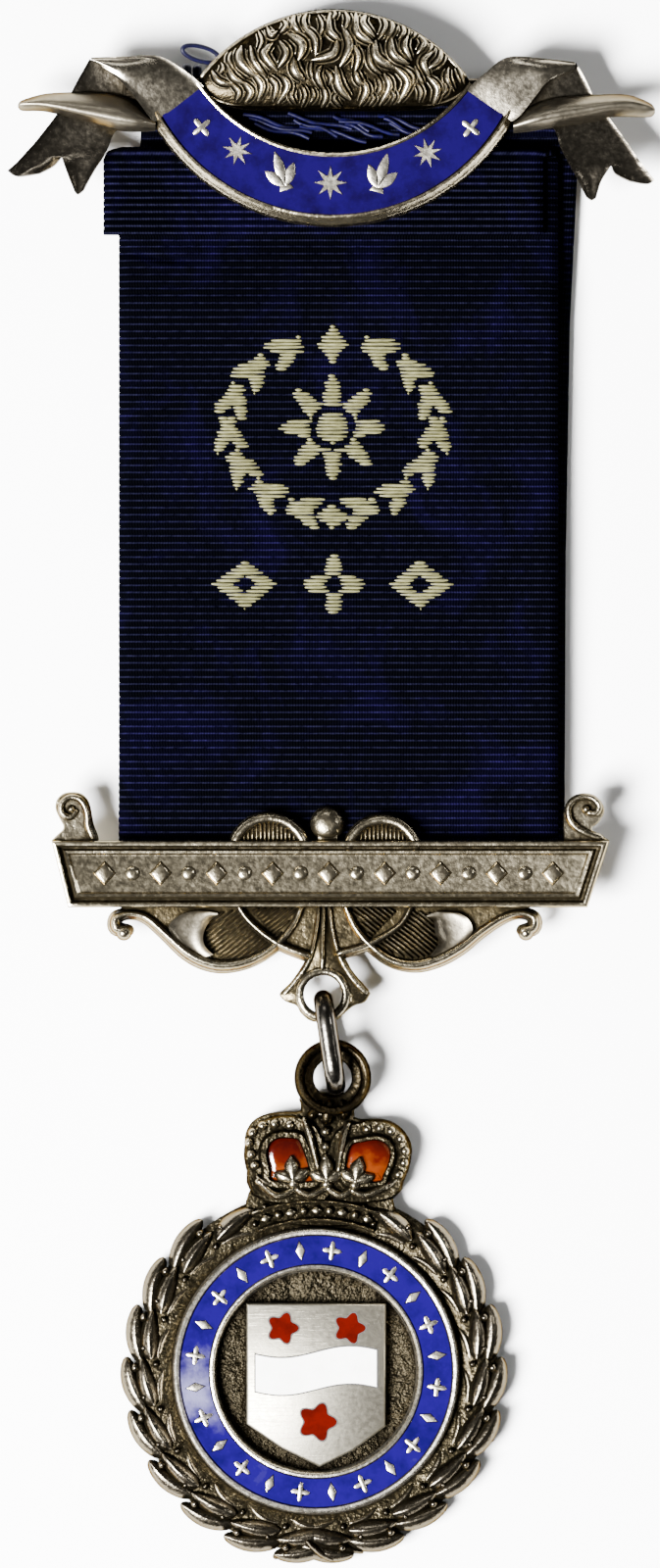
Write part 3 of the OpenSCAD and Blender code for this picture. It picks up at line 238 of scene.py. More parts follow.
BEAD_NECK = 0.35


def bead(x, y, foot, radius, rise, steps=14):
    """A cast pearl: a quarter ellipse turned, on a short neck."""
    a = np.linspace(0, math.pi / 2, 6)
    up = foot + rise * (BEAD_NECK + (1 - BEAD_NECK) * np.sin(a))
    curve = np.stack([radius * np.cos(a), up], axis=1)
    return dome(np.concatenate([[[radius * 0.9, foot]], curve]), (x, y), steps)


SHARPEST_MITRE = 0.35


def inset(loop, by):
    """A closed outline moved inwards by a distance, square to its edges and mitred at its corners."""
    loop = np.asarray(loop, float)
    if signed_area(loop) < 0:
        loop = loop[::-1]
    left = left_of(np.roll(loop, -1, axis=0) - loop)
    before = np.roll(left, 1, axis=0)
    share = 1 + np.sum(left * before, axis=1)[:, None]
    return loop + (left + before) / np.maximum(share, SHARPEST_MITRE) * by


def carried(loops):
    """Closed outlines of [x, y, z] one above another, joined by walls, with both ends capped."""
    stack = np.stack(loops)
    rows, columns = stack.shape[:2]
    points = stack.reshape(-1, 3)
    faces = [grid_quads(rows, columns, closed=True)]
    for k, up in ((0, False), (rows - 1, True)):
        cap = np.array(tessellate_polygon([[Vector(p) for p in stack[k]]])) + k * columns
        faces.append(facing(points, cap, up))
    return points, faces


def plate(outline, steps):
    """A plate whose edge runs through steps of [inset, height] from its foot to its face."""
    return carried([at_height(inset(outline, by), z) for by, z in steps])


def moulding(outline, section):
    """A closed section of [inset, height] carried round a closed outline."""
    return hoop(np.stack([at_height(inset(outline, by), z) for by, z in section]))


def block(x, y, width, length, low, high, edge=0.12):
    """A block with softened edges between two heights."""
    w, l = width / 2, length / 2
    outline = [[x - w, y - l], [x + w, y - l], [x + w, y + l], [x - w, y + l]]
    return plate(outline, [[edge, low], [0, low + edge], [0, high - edge], [edge, high]])


def moved(shape, by=(0, 0), turn=0.0):
    """A shape turned in degrees about the origin, then moved."""
    points, faces = shape
    c, s = math.cos(math.radians(turn)), math.sin(math.radians(turn))
    flat = points[:, :2] @ np.array([[c, s], [-s, c]]) + np.asarray(by, float)
    return np.column_stack([flat, points[:, 2]]), faces


def polar(r, a):
    """Flat points at a radius and an angle in degrees."""
    a = np.radians(a)
    return np.stack([r * np.cos(a), r * np.sin(a)], axis=-1)


def lozenge(w, h):
    """A diamond of half width w and half height h."""
    return np.array([[-w, 0], [0, -h], [w, 0], [0, h]])


def piece(name, shapes, finish, stands_for=(), smooth=38, uv=None):
    """One object of several shapes, in metres, with its finish and the frame nodes that it stands for."""
    start, points, faces = 0, [], []
    for shape_points, shape_faces in shapes:
        points.append(shape_points)
        for face in shape_faces:
            faces.extend((face + start).tolist())
        start += len(shape_points)
    mesh = bpy.data.meshes.new(name)
    mesh.from_pydata((np.concatenate(points) * MM).tolist(), [], faces)
    mesh.materials.append(finish)
    mesh.shade_smooth()
    mesh.set_sharp_from_angle(angle=math.radians(smooth))
    if uv is not None:
        corner = np.zeros(len(mesh.loops), np.int32)
        mesh.loops.foreach_get("vertex_index", corner)
        layer = mesh.uv_layers.new(name="cloth")
        layer.data.foreach_set("uv", uv[corner].astype(np.float32).ravel())
    obj = bpy.data.objects.new(name, mesh)
    bpy.context.scene.collection.objects.link(obj)
    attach(obj, "root")
    if stands_for:
        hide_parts(*stands_for)
    return obj


# Finishes


def fill(tree, node, inputs):
    """Fills inputs of a shader node with plain values, or with sockets of other nodes."""
    for key, value in inputs.items():
        if isinstance(value, bpy.types.NodeSocket):
            tree.links.new(value, node.inputs[key])
        else:
            node.inputs[key].default_value = value


def put(tree, kind, inputs=None, **settings):
    """Adds a shader node with its settings and inputs."""
    node = tree.nodes.new("ShaderNode" + kind)
    for key, value in settings.items():
        setattr(node, key, value)
    fill(tree, node, inputs or {})
    return node


def new_finish(name):
    """A material, its node tree and its shader."""
    material = bpy.data.materials.new(name)
    material.use_nodes = True
    return material, material.node_tree, material.node_tree.nodes["Principled BSDF"]


def steps_of(tree, factor, stops):
    """A colour ramp through stops of (place, colour)."""
    node = put(tree, "ValToRGB", {0: factor})
    ramp = node.color_ramp
    ramp.elements[0].position, ramp.elements[0].color = stops[0][0], (*stops[0][1], 1)
    ramp.elements[1].position, ramp.elements[1].color = stops[-1][0], (*stops[-1][1], 1)
    for place, colour in stops[1:-1]:
        ramp.elements.new(place).color = (*colour, 1)
    return node.outputs[0]


def own_place(tree):
    """Where each point lies, in metres."""
    return put(tree, "TexCoord").outputs["Object"]


def noise(tree, place, scale, detail=4.0, rough=0.55, distortion=0.0):
    """A noise whose scale counts for each metre."""
    inputs = {"Vector": place, "Scale": scale, "Detail": detail, "Roughness": rough}
    return put(tree, "TexNoise", {**inputs, "Distortion": distortion}).outputs[0]


def spread(tree, value, low, high, out_low=0.0, out_high=1.0):
    """The value's share of the way from low to high, held at both ends."""
    inputs = {0: value, 1: low, 2: high, 3: out_low, 4: out_high}
    return put(tree, "MapRange", inputs, clamp=True).outputs[0]


def combine(tree, kind, a, b):
    """One step of arithmetic on two values."""
    return put(tree, "Math", {0: a, 1: b}, operation=kind).outputs[0]


def add(tree, total, *others):
    """The sum of all the values."""
    for other in others:
        total = combine(tree, "ADD", total, other)
    return total


def mix(tree, share, a, b):
    """The colour a turned into b by a share."""
    return put(tree, "Mix", {0: share, 6: a, 7: b}, data_type="RGBA").outputs[2]


def bump(tree, height, distance, under=None):
    """A bump of so many metres, over another one's normal if there is one below."""
    inputs = {"Height": height, "Distance": distance, "Strength": 1.0}
    if under is not None:
        inputs["Normal"] = under
    return put(tree, "Bump", inputs).outputs[0]


# Noise scales for each metre: cast specks, the finest grain and drawn scratches
SPECKS, FINE_GRAIN, SCRATCHES = 2300.0, 6500.0, 7000.0


def sway(tree, value, low, high):
    """A noise's middle range drawn out from low to high."""
    return spread(tree, value, 0.3, 0.7, low, high)


def silver(name, bright, stain, hollow, reach, rough, grain=1.0, patch_size=260.0, lean=0.0, scratch=0.0):
    """Silver with brown tarnish where ambient light can't reach, in soft patches, and a cast grain.

    A negative lean darkens all of it. Scratches are a noise drawn out along one slanting way.
    """
    material, tree, shader = new_finish(name)
    place = own_place(tree)
    light = put(tree, "AmbientOcclusion", {"Distance": reach}, samples=10).outputs["AO"]
    patches = noise(tree, place, patch_size, 5.0, 0.6, 0.4)
    specks = noise(tree, place, SPECKS, 3.0, 0.6)
    fine = noise(tree, place, FINE_GRAIN, 2.0, 0.5)
    open_share = spread(tree, light, 0.32, 0.9)
    cloud = sway(tree, patches, -0.22, 0.2)
    speck = spread(tree, specks, 0.3, 0.75, -0.14, 0.12)
    clean = add(tree, open_share, cloud, speck, lean)
    colour = steps_of(tree, clean, [(0.0, hollow), (0.45, stain), (0.78, bright), (1.0, bright)])
    dull = spread(tree, clean, 0.1, 0.9, rough[1], rough[0])
    roughness = add(tree, dull, sway(tree, specks, -0.04, 0.07))
    metal = spread(tree, clean, 0.0, 0.5, 0.45, 1.0)
    coarse = bump(tree, patches, 0.00016 * grain)
    if scratch:
        slanted = put(tree, "Mapping", {0: place, 2: (0, 0, -0.7), 3: (0.04, 1.0, 1.0)}).outputs[0]
        lines = noise(tree, slanted, SCRATCHES, 3.0, 0.75)
        coarse = bump(tree, spread(tree, lines, 0.55, 0.75), scratch, coarse)
    normal = bump(tree, fine, 0.00001 * grain, bump(tree, specks, 0.00004 * grain, coarse))
    tarnish_gloss = {"Specular IOR Level": 0.08, "Specular Tint": (0.2, 0.16, 0.1, 1)}
    surface = {"Base Color": colour, "Roughness": roughness, "Metallic": metal, "Normal": normal}
    fill(tree, shader, {**surface, **tarnish_gloss})
    return material


# The clear glass's roughness, then the roughness and colour of a painted reflection on it
GLASS_ROUGH, REFLECTION_ROUGH, REFLECTION_BLUE = 0.08, 0.5, (0.034, 0.031, 0.088, 1)


def enamel(name, colour, depth, pale_patch=None):
    """Glass over metal: a colour with cloudy depth and tiny bubbles under a clear, faintly wavy gloss.

    A painted reflection can make the glass dull and paler in a soft round patch: its place on the medal and
    its reach, in mm.
    """
    material, tree, shader = new_finish(name)
    place = own_place(tree)
    cloud = noise(tree, place, 420.0, 4.0, 0.6)
    bubbles = noise(tree, place, 3600.0, 2.0, 0.6)
    pale = sway(tree, cloud, 0.0, 0.8)
    mixed = add(tree, pale, spread(tree, bubbles, 0.55, 0.8, 0.0, 0.3))
    shown = steps_of(tree, mixed, [(0.0, depth), (0.55, colour), (1.0, colour)])
    shader.inputs["Roughness"].default_value = GLASS_ROUGH
    # A painted reflection: the colour turns pale blue and dull in a soft round patch
    if pale_patch:
        middle = (*((MEDAL_CENTRE + pale_patch[:2]) * MM), 0.003)
        away = put(tree, "VectorMath", {0: place, 1: middle}, operation="DISTANCE").outputs["Value"]
        near = spread(tree, away, 0.0, pale_patch[2] * MM, 1.0, 0.0)
        share = spread(tree, add(tree, near, sway(tree, cloud, -0.3, 0.3)), 0.25, 0.95)
        shown = mix(tree, share, shown, REFLECTION_BLUE)
        fill(tree, shader, {"Roughness": spread(tree, share, 0.0, 1.0, GLASS_ROUGH, REFLECTION_ROUGH)})
    normal = bump(tree, bubbles, 0.000008, bump(tree, cloud, 0.00005))
    coat = {"Coat Weight": 0.3, "Coat Roughness": 0.04}
    fill(tree, shader, {"Base Color": shown, "Normal": normal, **coat})
    return material


def plain(name, colour, rough):
    """One even colour and gloss."""
    material, tree, shader = new_finish(name)
    fill(tree, shader, {"Base Color": (*colour, 1), "Roughness": rough})
    return material


DARK_HOLLOW = (0.0008, 0.0006, 0.00025)
# The silvers: colours when bright, stained and in hollows, how far a hollow's shade reaches in metres,
# roughness when clean and stained, then the grain, the size of the patches, the lean and the scratches
SILVERS = {
    "ground": [(0.035, 0.0285, 0.0165), (0.0108, 0.0086, 0.0047), DARK_HOLLOW, 0.0010, (0.24, 0.34), 2.0],
    "hair": [(0.32, 0.28, 0.20), (0.085, 0.069, 0.040), (0.004, 0.003, 0.0015), 0.0006, (0.27, 0.35)],
    "wreath": [(0.092, 0.079, 0.057), (0.019, 0.0152, 0.0083), DARK_HOLLOW, 0.0016, (0.21, 0.31),
               1.0, 260.0, -0.05],
    "bar": [(0.19, 0.165, 0.115), (0.040, 0.032, 0.0175), (0.0035, 0.0026, 0.0013), 0.0009, (0.23, 0.33)],
    "brown": [(0.10, 0.080, 0.045), (0.034, 0.026, 0.0125), (0.003, 0.0022, 0.001), 0.0010,
              (0.25, 0.35), 1.2],
    "horn": [(0.125, 0.11, 0.082), (0.05, 0.042, 0.027), (0.002, 0.0016, 0.0008), 0.0016,
             (0.34, 0.42), 0.4],
    "deep": [(0.02, 0.0155, 0.0085), (0.006, 0.0047, 0.0026), (0.0006, 0.0005, 0.0003), 0.0009,
             (0.26, 0.36), 1.5],
    "plate": [(0.36, 0.312, 0.215), (0.066, 0.052, 0.028), (0.004, 0.003, 0.0015), 0.0012,
              (0.19, 0.28), 0.6],
    "satin": [(0.20, 0.178, 0.137), (0.070, 0.059, 0.038), (0.002, 0.0016, 0.0008), 0.0016,
              (0.22, 0.31), 0.4],
    "shaded": [(0.09, 0.079, 0.061), (0.029, 0.024, 0.016), (0.0016, 0.0013, 0.0008), 0.0016,
               (0.22, 0.32), 0.5],
    "pale": [(0.50, 0.465, 0.39), (0.20, 0.17, 0.12), (0.01, 0.008, 0.005), 0.0006,
             (0.26, 0.34), 0.4, 900.0],
    "shield": [(0.215, 0.199, 0.158), (0.13, 0.117, 0.086), (0.013, 0.0105, 0.007), 0.0008,
               (0.41, 0.47), 0.2, 400.0, 0.0, 0.000008],
    "pebbled": [(0.010, 0.0082, 0.0050), (0.0042, 0.0034, 0.0021), (0.0008, 0.0006, 0.0004), 0.0012,
                (0.26, 0.36), 5.0],
    "wire": [(0.075, 0.068, 0.058), (0.02, 0.0165, 0.012), (0.0015, 0.0012, 0.0008), 0.0014,
             (0.18, 0.28), 0.5],
}
SILVER = {kind: silver(kind if kind == "wire" else f"{kind}_silver", *row) for kind, row in SILVERS.items()}
cobalt = enamel("cobalt", (0.0023, 0.00001, 0.0205), (0.0009, 0.00001, 0.0082))
# The painted reflection on the ring's enamel, a soft pale dull patch: its place on the medal and its reach
REFLECTION_PATCH = (-10.3, -1.5, 4.8)
cobalt_painted_reflection = enamel("cobalt_painted_reflection", (0.0032, 0.00001, 0.036), (0.0015, 0.00001, 0.018), REFLECTION_PATCH)
white_glass = enamel("white_glass", (0.80, 0.79, 0.76), (0.72, 0.70, 0.66))
red_glass = enamel("red_glass", (0.030, 0.0009, 0.0003), (0.014, 0.0004, 0.0002))
joint_dark = plain("joint_dark", (0.004, 0.003, 0.002), 0.5)


# The foot and the top of the crown's glass on the medal
GLASS_Y = (16.4, 20.6)


def crown_glass():
    """Clear red glass, dark at the top of the lobes and orange to yellow low in the middle."""
    material = enamel("crown_glass", (0.06, 0.003, 0.001), (0.03, 0.001, 0.0005))
    tree = material.node_tree
    place = own_place(tree)
    height = put(tree, "SeparateXYZ", {0: place}).outputs["Y"]
    low, high = ((MEDAL_CENTRE[1] + y) * MM for y in GLASS_Y)
    rise = spread(tree, height, low, high)
    wander = sway(tree, noise(tree, place, 500.0), -0.25, 0.25)
    stops = [(0.0, (0.05, 0.006, 0.0005)), (0.3, (0.055, 0.009, 0.0006))]
    stops += [(0.55, (0.022, 0.0012, 0.0003)), (1.0, (0.007, 0.0002, 0.0001))]
    colour = steps_of(tree, add(tree, rise, wander), stops)
    fill(tree, tree.nodes["Principled BSDF"], {"Base Color": colour})
    return material


# From one fine thread of a rib to the next
THREAD_PITCH = 0.24


def ribbon_silk():
    """Navy silk: violet light on the ribs' crests, dark grooves, fine threads across each rib.

    UV: u is millimetres across, v counts ribs along the strip.
    """
    material, tree, shader = new_finish("ribbon_silk")
    uv = put(tree, "UVMap", uv_map="cloth").outputs[0]
    u, v = put(tree, "SeparateXYZ", {0: uv}).outputs[:2]
    place = own_place(tree)
    rib = combine(tree, "PINGPONG", add(tree, v, 0.25), 0.5)
    crest = spread(tree, rib, 0.33, 0.5)
    thread = combine(tree, "SINE", combine(tree, "MULTIPLY", u, 2 * math.pi / THREAD_PITCH), 0)
    dots = noise(tree, put(tree, "Mapping", {0: uv, 3: (0.8, 1.0, 1.0)}).outputs[0], 1.7, 5.0, 0.8)
    pale_patch = spread(tree, noise(tree, place, 130.0, 5.0, 0.65, 0.8), 0.5, 0.74)
    lit = combine(tree, "MULTIPLY", crest, spread(tree, dots, 0.32, 0.68))
    lit = combine(tree, "MULTIPLY", lit, spread(tree, thread, -0.9, 0.9, 0.75, 1.0))
    ground = steps_of(tree, pale_patch, [(0.0, (0.00003, 0.00005, 0.0003)), (1.0, (0.0003, 0.0002, 0.0018))])
    light = steps_of(tree, pale_patch, [(0.0, (0.0062, 0.0060, 0.0165)), (1.0, (0.0088, 0.0054, 0.038))])
    normal = bump(tree, dots, 0.00004, bump(tree, thread, 0.00002))
    surface = {"Base Color": mix(tree, lit, ground, light), "Normal": normal}
    fill(tree, shader, {**surface, "Roughness": 0.6, "Specular IOR Level": 0.003})
    return material


def gold_thread():
    """Satin floats of dull gold thread that run from side to side, with painted sheen in streaks along the
    strands and faint stains.
    """
    material, tree, shader = new_finish("gold_thread")
    place = own_place(tree)
    along = put(tree, "Mapping", {0: place, 3: (0.12, 1.0, 1.0)}).outputs[0]
    strands = noise(tree, along, 9000.0, 2.0, 0.6)
    stain = noise(tree, place, 350.0, 3.0, 0.6)
    # Painted sheen: lighter and darker streaks along the strands, with faint stains over them
    shade = add(tree, sway(tree, strands, 0.0, 0.75), sway(tree, stain, 0.0, 0.25))
    stops = [(0.0, (0.020, 0.0185, 0.0065)), (0.5, (0.060, 0.0575, 0.024)), (1.0, (0.115, 0.111, 0.052))]
    surface = {"Base Color": steps_of(tree, shade, stops), "Normal": bump(tree, strands, 0.00005)}
    fill(tree, shader, {**surface, "Roughness": 0.45, "Specular IOR Level": 0.2})
    return material


def thread(name, dark, light, shine):
    """Silk thread: its plies catch the light in short slanting dashes."""
    material, tree, shader = new_finish(name)
    place = own_place(tree)
    slanted = put(tree, "Mapping", {0: place, 2: (0, 0, 0.6), 3: (0.35, 1.0, 1.0)}).outputs[0]
    plies = noise(tree, slanted, 5200.0, 2.0, 0.6)
    surface = {
        "Base Color": steps_of(tree, plies, [(0.35, dark), (0.65, light)]),
        "Roughness": sway(tree, plies, 0.55, 0.38),
        "Normal": bump(tree, plies, 0.00003),
    }
    fill(tree, shader, {**surface, "Specular IOR Level": shine})
    return material


crown_red = crown_glass()
silk = ribbon_silk()
gold = gold_thread()
thread_dark = thread("thread_dark", (0.0005, 0.0004, 0.004), (0.0014, 0.0011, 0.011), 0.1)
thread_blue = thread("thread_blue", (0.0004, 0.0003, 0.004), (0.0015, 0.0010, 0.0140), 0.06)
table_white = plain("table_white", (0.92, 0.92, 0.92), 0.6)


# Brooch: the banner between two arcs


# The circles of the banner's lower and upper edges: [x, y, radius]
UNDER, OVER = (0.13, 66.3, 17.94), (0.3, 69.02, 14.2)
BANNER_Z, BED_Z, ORNAMENT_Z = 3.6, 4.4, 5.06
# Height over the distance from the lower and from the upper edge
LOW_RIM = np.array([
    [0, 4.1], [0.08, 4.5], [0.3, 4.72], [0.5, 4.86], [0.62, 5.04], [0.74, 5.14], [0.9, 5.14], [1.02, 4.95],
    [1.08, BED_Z],
])
TOP_RIM = np.array([
    [0, 4.0], [0.03, 4.8], [0.1, 5.05], [0.25, 5.12], [0.4, 5.05], [0.46, 4.9], [0.5, BED_Z],
])
BANNER_WIDTH = 6.0


def arc(circle, by, angles, steps):
    """Points of a circle [x, y, radius] made larger by a distance, from one angle to another."""
    start, stop = angles
    return np.array(circle[:2]) + polar(circle[2] + by, start + np.linspace(0, 1, steps) * (stop - start))


def between(low, high, shares):
    """A grid of points at shares of the way from one line to another."""
    v = np.asarray(shares, float)[None, :, None]
    return low[:, None] * (1 - v) + high[:, None] * v


def banner():
    """The bed and both rims."""
    low, high = arc(UNDER, 0, (-152, -27.4), 161), arc(OVER, 0, (-145.4, -35.1), 161)
    bed = [0.4, 0.6]
    shares = np.concatenate([LOW_RIM[:, 0] / BANNER_WIDTH, bed, 1 - TOP_RIM[::-1, 0] / BANNER_WIDTH])
    heights = np.concatenate([LOW_RIM[:, 1], [BED_Z, BED_Z], TOP_RIM[::-1, 1]])
    return slab(between(low, high, shares), heights, BANNER_Z)


def banner_glass():
    """The enamel, a shallow trough between the rims: 4.97 + 0.05 (2v - 1)^6."""
    v = np.linspace(0, 1, 13)
    low, high = arc(UNDER, -1.02, (-150.5, -29.2), 121), arc(OVER, 0.44, (-143.2, -37.8), 121)
    return slab(between(low, high, v), 4.97 + 0.05 * (2 * v - 1) ** 6, BED_Z)


def quatrefoil(r):
    """r (0.66 + 0.34 cos 4a) (cos a, sin a)."""
    a = np.arange(48) / 48 * 360
    return polar(r * (0.66 + 0.34 * np.cos(np.radians(4 * a))), a)


def star(r, points=8):
    """Tips at r, by turns with notches at 0.42 r."""
    a = np.arange(2 * points) * 180 / points
    return polar(np.where(np.arange(2 * points) % 2 == 0, r, r * 0.42), a)


def leaf_outline(width, length):
    """Half a wave on each side of a straight rib: w/2 (sin 180 t)^0.9."""
    t = np.linspace(0, 1, 13)[:-1]
    right = np.stack([np.sin(t * math.pi) ** 0.9 * width / 2, t * length], axis=1)
    return np.concatenate([right, [[0, length]], right[:0:-1] * [-1, 1]])


def raised(outline, low, high, bevel=0.06):
    """A plate with a small bevel round its face."""
    return plate(outline, [[0, low], [0, high - bevel], [bevel * 0.4, high - bevel * 0.3], [bevel, high]])


def sprig(h, low, high):
    """Three leaves on a short foot."""
    shapes = []
    for lean, length in ((36, 0.62 * h), (0, 0.89 * h), (-36, 0.62 * h)):
        shapes.append(moved(raised(leaf_outline(0.26 * h, length), low, high), (0, -0.39 * h), turn=lean))
    foot = [[-0.18 * h, -0.48 * h], [0.18 * h, -0.48 * h], [0.13 * h, -0.36 * h], [-0.13 * h, -0.36 * h]]
    return shapes + [raised(foot, low, high)]


# The banner's ornament: [x, y, lean, kind, size]
BANNER_MOTIFS = [
    [-11.2, 56.95, 40, "quatrefoil", 0.95],
    [-8.1, 54.95, 31, "star", 1.35],
    [-4.35, 53.15, 17, "sprig", 3.6],
    [-0.05, 52.15, 0, "star", 1.5],
    [4.4, 53.0, -16, "sprig", 3.6],
    [8.35, 54.75, -30, "star", 1.35],
    [12.1, 56.9, -38, "quatrefoil", 0.95],
]


def banner_ornament():
    """Flowers, stars and sprigs, each leant as the banner bends."""
    shapes = []
    for x, y, turn, kind, size in BANNER_MOTIFS:
        if kind == "sprig":
            parts = sprig(size, BED_Z, ORNAMENT_Z)
        elif kind == "star":
            parts = [raised(star(size), BED_Z, ORNAMENT_Z, 0.1)]
        else:
            parts = [raised(quatrefoil(size), BED_Z, ORNAMENT_Z)]
        shapes += [moved(part, (x, y), turn=turn) for part in parts]
    return shapes


FOLD_LEFT = [
    [[-11.0, 60.5, 4.9], [-12.4, 59.5, 5.0], [-13.7, 58.5, 5.0], [-15.35, 57.35, 4.9]],
    [[-12.6, 61.8, 5.1], [-13.7, 60.9, 5.3], [-14.8, 59.9, 5.3], [-15.9, 58.1, 5.1]],
    [[-14.9, 63.1, 5.0], [-15.6, 62.2, 5.4], [-16.4, 61.1, 5.5], [-17.1, 59.7, 5.3]],
    [[-17.6, 63.1, 4.9], [-17.9, 62.5, 5.4], [-18.2, 61.8, 5.6], [-18.4, 61.1, 5.4]],
    [[-20.8, 63.0, 4.7], [-20.75, 62.9, 4.9], [-20.65, 62.8, 5.0], [-20.5, 62.65, 4.9]],
]
FOLD_RIGHT = [
    [[11.7, 60.2, 4.9], [13.0, 59.3, 5.0], [14.3, 58.4, 5.0], [15.65, 57.45, 4.9]],
    [[13.3, 61.6, 5.1], [14.4, 60.6, 5.3], [15.4, 59.6, 5.3], [16.4, 58.0, 5.1]],
    [[15.2, 63.0, 5.0], [15.9, 62.1, 5.4], [16.7, 61.0, 5.5], [17.6, 59.5, 5.3]],
    [[18.0, 62.95, 4.9], [18.3, 62.4, 5.4], [18.6, 61.8, 5.6], [18.9, 61.0, 5.4]],
    [[21.1, 62.6, 4.7], [21.15, 62.4, 4.9], [21.15, 62.2, 5.0], [21.1, 61.9, 4.9]],
]


def lipped(grid, lip, reach):
    """Raises a grid's two long edges by lip, fading over reach of its width: lip exp(-(v / reach)^2)."""
    v = np.linspace(0, 1, grid.shape[1])
    grid[:, :, 2] += lip * (np.exp(-((v / reach) ** 2)) + np.exp(-(((1 - v) / reach) ** 2)))
    return grid


def fold(table):
    """A folded end of the banner, with a lip along its edges."""
    return relief(lipped(patch(table, 7, 7), 0.14, 0.07), BANNER_Z)


# Forked tails: the body's rows across, then the rows of the fork's outer and inner points
TAIL_LEFT = [
    [[-20.9, 62.9, 4.4], [-20.3, 62.6, 4.3], [-19.2, 62.2, 4.2], [-17.6, 61.8, 4.2]],
    [[-21.8, 61.3, 4.3], [-20.4, 61.0, 4.0], [-18.5, 60.6, 3.9], [-16.2, 60.2, 4.0]],
    [[-22.6, 59.8, 4.4], [-21.0, 59.2, 4.0], [-18.8, 58.7, 3.9], [-16.4, 58.3, 4.0]],
    [[-23.8, 58.0, 4.6], [-22.3, 57.6, 4.2], [-20.3, 57.2, 4.1], [-18.6, 56.7, 4.5]],
    [[-25.5, 55.8, 4.8], [-24.0, 55.4, 4.3], [-21.7, 55.3, 4.2], [-19.3, 55.2, 4.7]],
    [[-26.3, 54.9, 4.9], [-24.6, 54.5, 4.4], [-22.0, 54.3, 4.5], [-19.9, 54.1, 4.8]],
]
TAIL_LEFT_POINTS = (
    [[[-27.1, 54.0, 5.0], [-25.8, 53.6, 4.6], [-24.0, 53.6, 5.0]],
     [[-28.0, 53.2, 5.1], [-27.1, 52.7, 5.0], [-25.2, 52.95, 5.0]]],
    [[[-22.8, 52.9, 5.0], [-21.8, 52.9, 4.7], [-20.6, 53.0, 5.0]],
     [[-22.2, 51.4, 5.1], [-21.9, 51.15, 5.0], [-21.4, 51.5, 5.1]]],
)
TAIL_RIGHT = [
    [[21.2, 62.6, 4.1], [20.7, 62.1, 4.2], [19.6, 61.8, 4.2], [18.0, 61.5, 4.2]],
    [[22.0, 61.2, 3.9], [20.7, 60.9, 4.0], [18.9, 60.4, 4.1], [16.7, 60.0, 4.2]],
    [[22.8, 59.6, 3.9], [21.5, 59.1, 4.0], [19.4, 58.6, 4.1], [17.0, 58.2, 4.2]],
    [[24.1, 57.8, 4.1], [22.8, 57.5, 4.2], [21.0, 57.3, 4.3], [19.2, 57.0, 4.5]],
    [[25.4, 56.0, 4.3], [24.0, 55.5, 4.4], [22.0, 55.3, 4.5], [19.9, 55.2, 4.7]],
    [[26.6, 54.2, 4.6], [25.4, 53.8, 4.6], [23.0, 53.6, 4.7], [20.8, 53.5, 4.9]],
]
TAIL_RIGHT_POINTS = (
    [[[27.3, 53.3, 4.8], [26.2, 52.8, 4.8], [24.6, 52.95, 4.9]],
     [[28.0, 52.4, 5.0], [27.35, 52.05, 5.0], [25.8, 52.3, 5.0]]],
    [[[23.4, 52.3, 5.0], [22.5, 52.3, 4.7], [21.4, 52.4, 5.0]],
     [[22.95, 50.85, 5.1], [22.55, 50.65, 5.0], [22.1, 50.95, 5.1]]],
)
TAIL_FOOT = 3.55


def interpolated(at, places, rows):
    """Rows looked up at places between the known ones, by straight pieces."""
    return np.stack([np.interp(at, places, column) for column in rows.T], axis=-1)


def tail(body, points):
    """The body's smooth grid, and a fork whose two halves go on from the body's last row."""
    grid = lipped(patch(body, 5, 8), 0.1, 0.06)
    rows, columns = grid.shape[:2]
    last_row = (rows - 1) * columns + np.arange(columns)
    middle = columns // 2
    loose, quads, start = [grid.reshape(-1, 3)], [grid_quads(rows, columns)], rows * columns
    for half, table in zip((slice(0, middle + 1), slice(middle, columns)), points):
        first = grid[-1, half]
        v = np.linspace(0, 1, len(first))
        ends = [catmull(row, 8) for row in table]
        ends = [interpolated(v, np.linspace(0, 1, len(end)), end) for end in ends]
        lobe = catmull(np.stack([first, *ends]), 5)
        added = lipped(lobe[1:], 0.1, 0.12).reshape(-1, 3)
        joined = np.concatenate([last_row[half], start + np.arange(len(added))])
        quads.append(joined[grid_quads(len(lobe), len(v))])
        loose.append(added)
        start += len(added)
    return closed_down(np.concatenate(loose), np.concatenate(quads), TAIL_FOOT)


# Horns: rows of [x, upper edge y, ridge y, lower edge y, ridge z]
HORN_LEFT = [
    [-27.1, 58.98, 58.85, 58.7, 4.9],
    [-26.7, 59.35, 59.0, 58.42, 5.2],
    [-25.0, 59.85, 58.95, 58.38, 5.5],
    [-23.2, 60.0, 58.65, 58.0, 5.7],
    [-21.0, 60.0, 58.2, 57.45, 5.8],
    [-18.6, 59.75, 57.75, 56.75, 5.9],
    [-16.8, 59.0, 57.45, 56.6, 5.8],
    [-15.2, 57.6, 57.2, 56.7, 5.2],
]
HORN_RIGHT = [
    [28.05, 58.6, 58.4, 58.2, 4.9],
    [27.6, 59.1, 58.7, 57.88, 5.2],
    [25.9, 59.75, 58.95, 57.9, 5.5],
    [24.0, 59.85, 58.8, 57.85, 5.7],
    [21.6, 59.7, 58.4, 57.3, 5.8],
    [19.2, 59.5, 57.95, 56.95, 5.9],
    [17.3, 58.8, 57.5, 56.65, 5.8],
    [15.8, 57.5, 57.1, 56.5, 5.2],
]
HORN_EDGE_Z = 4.4


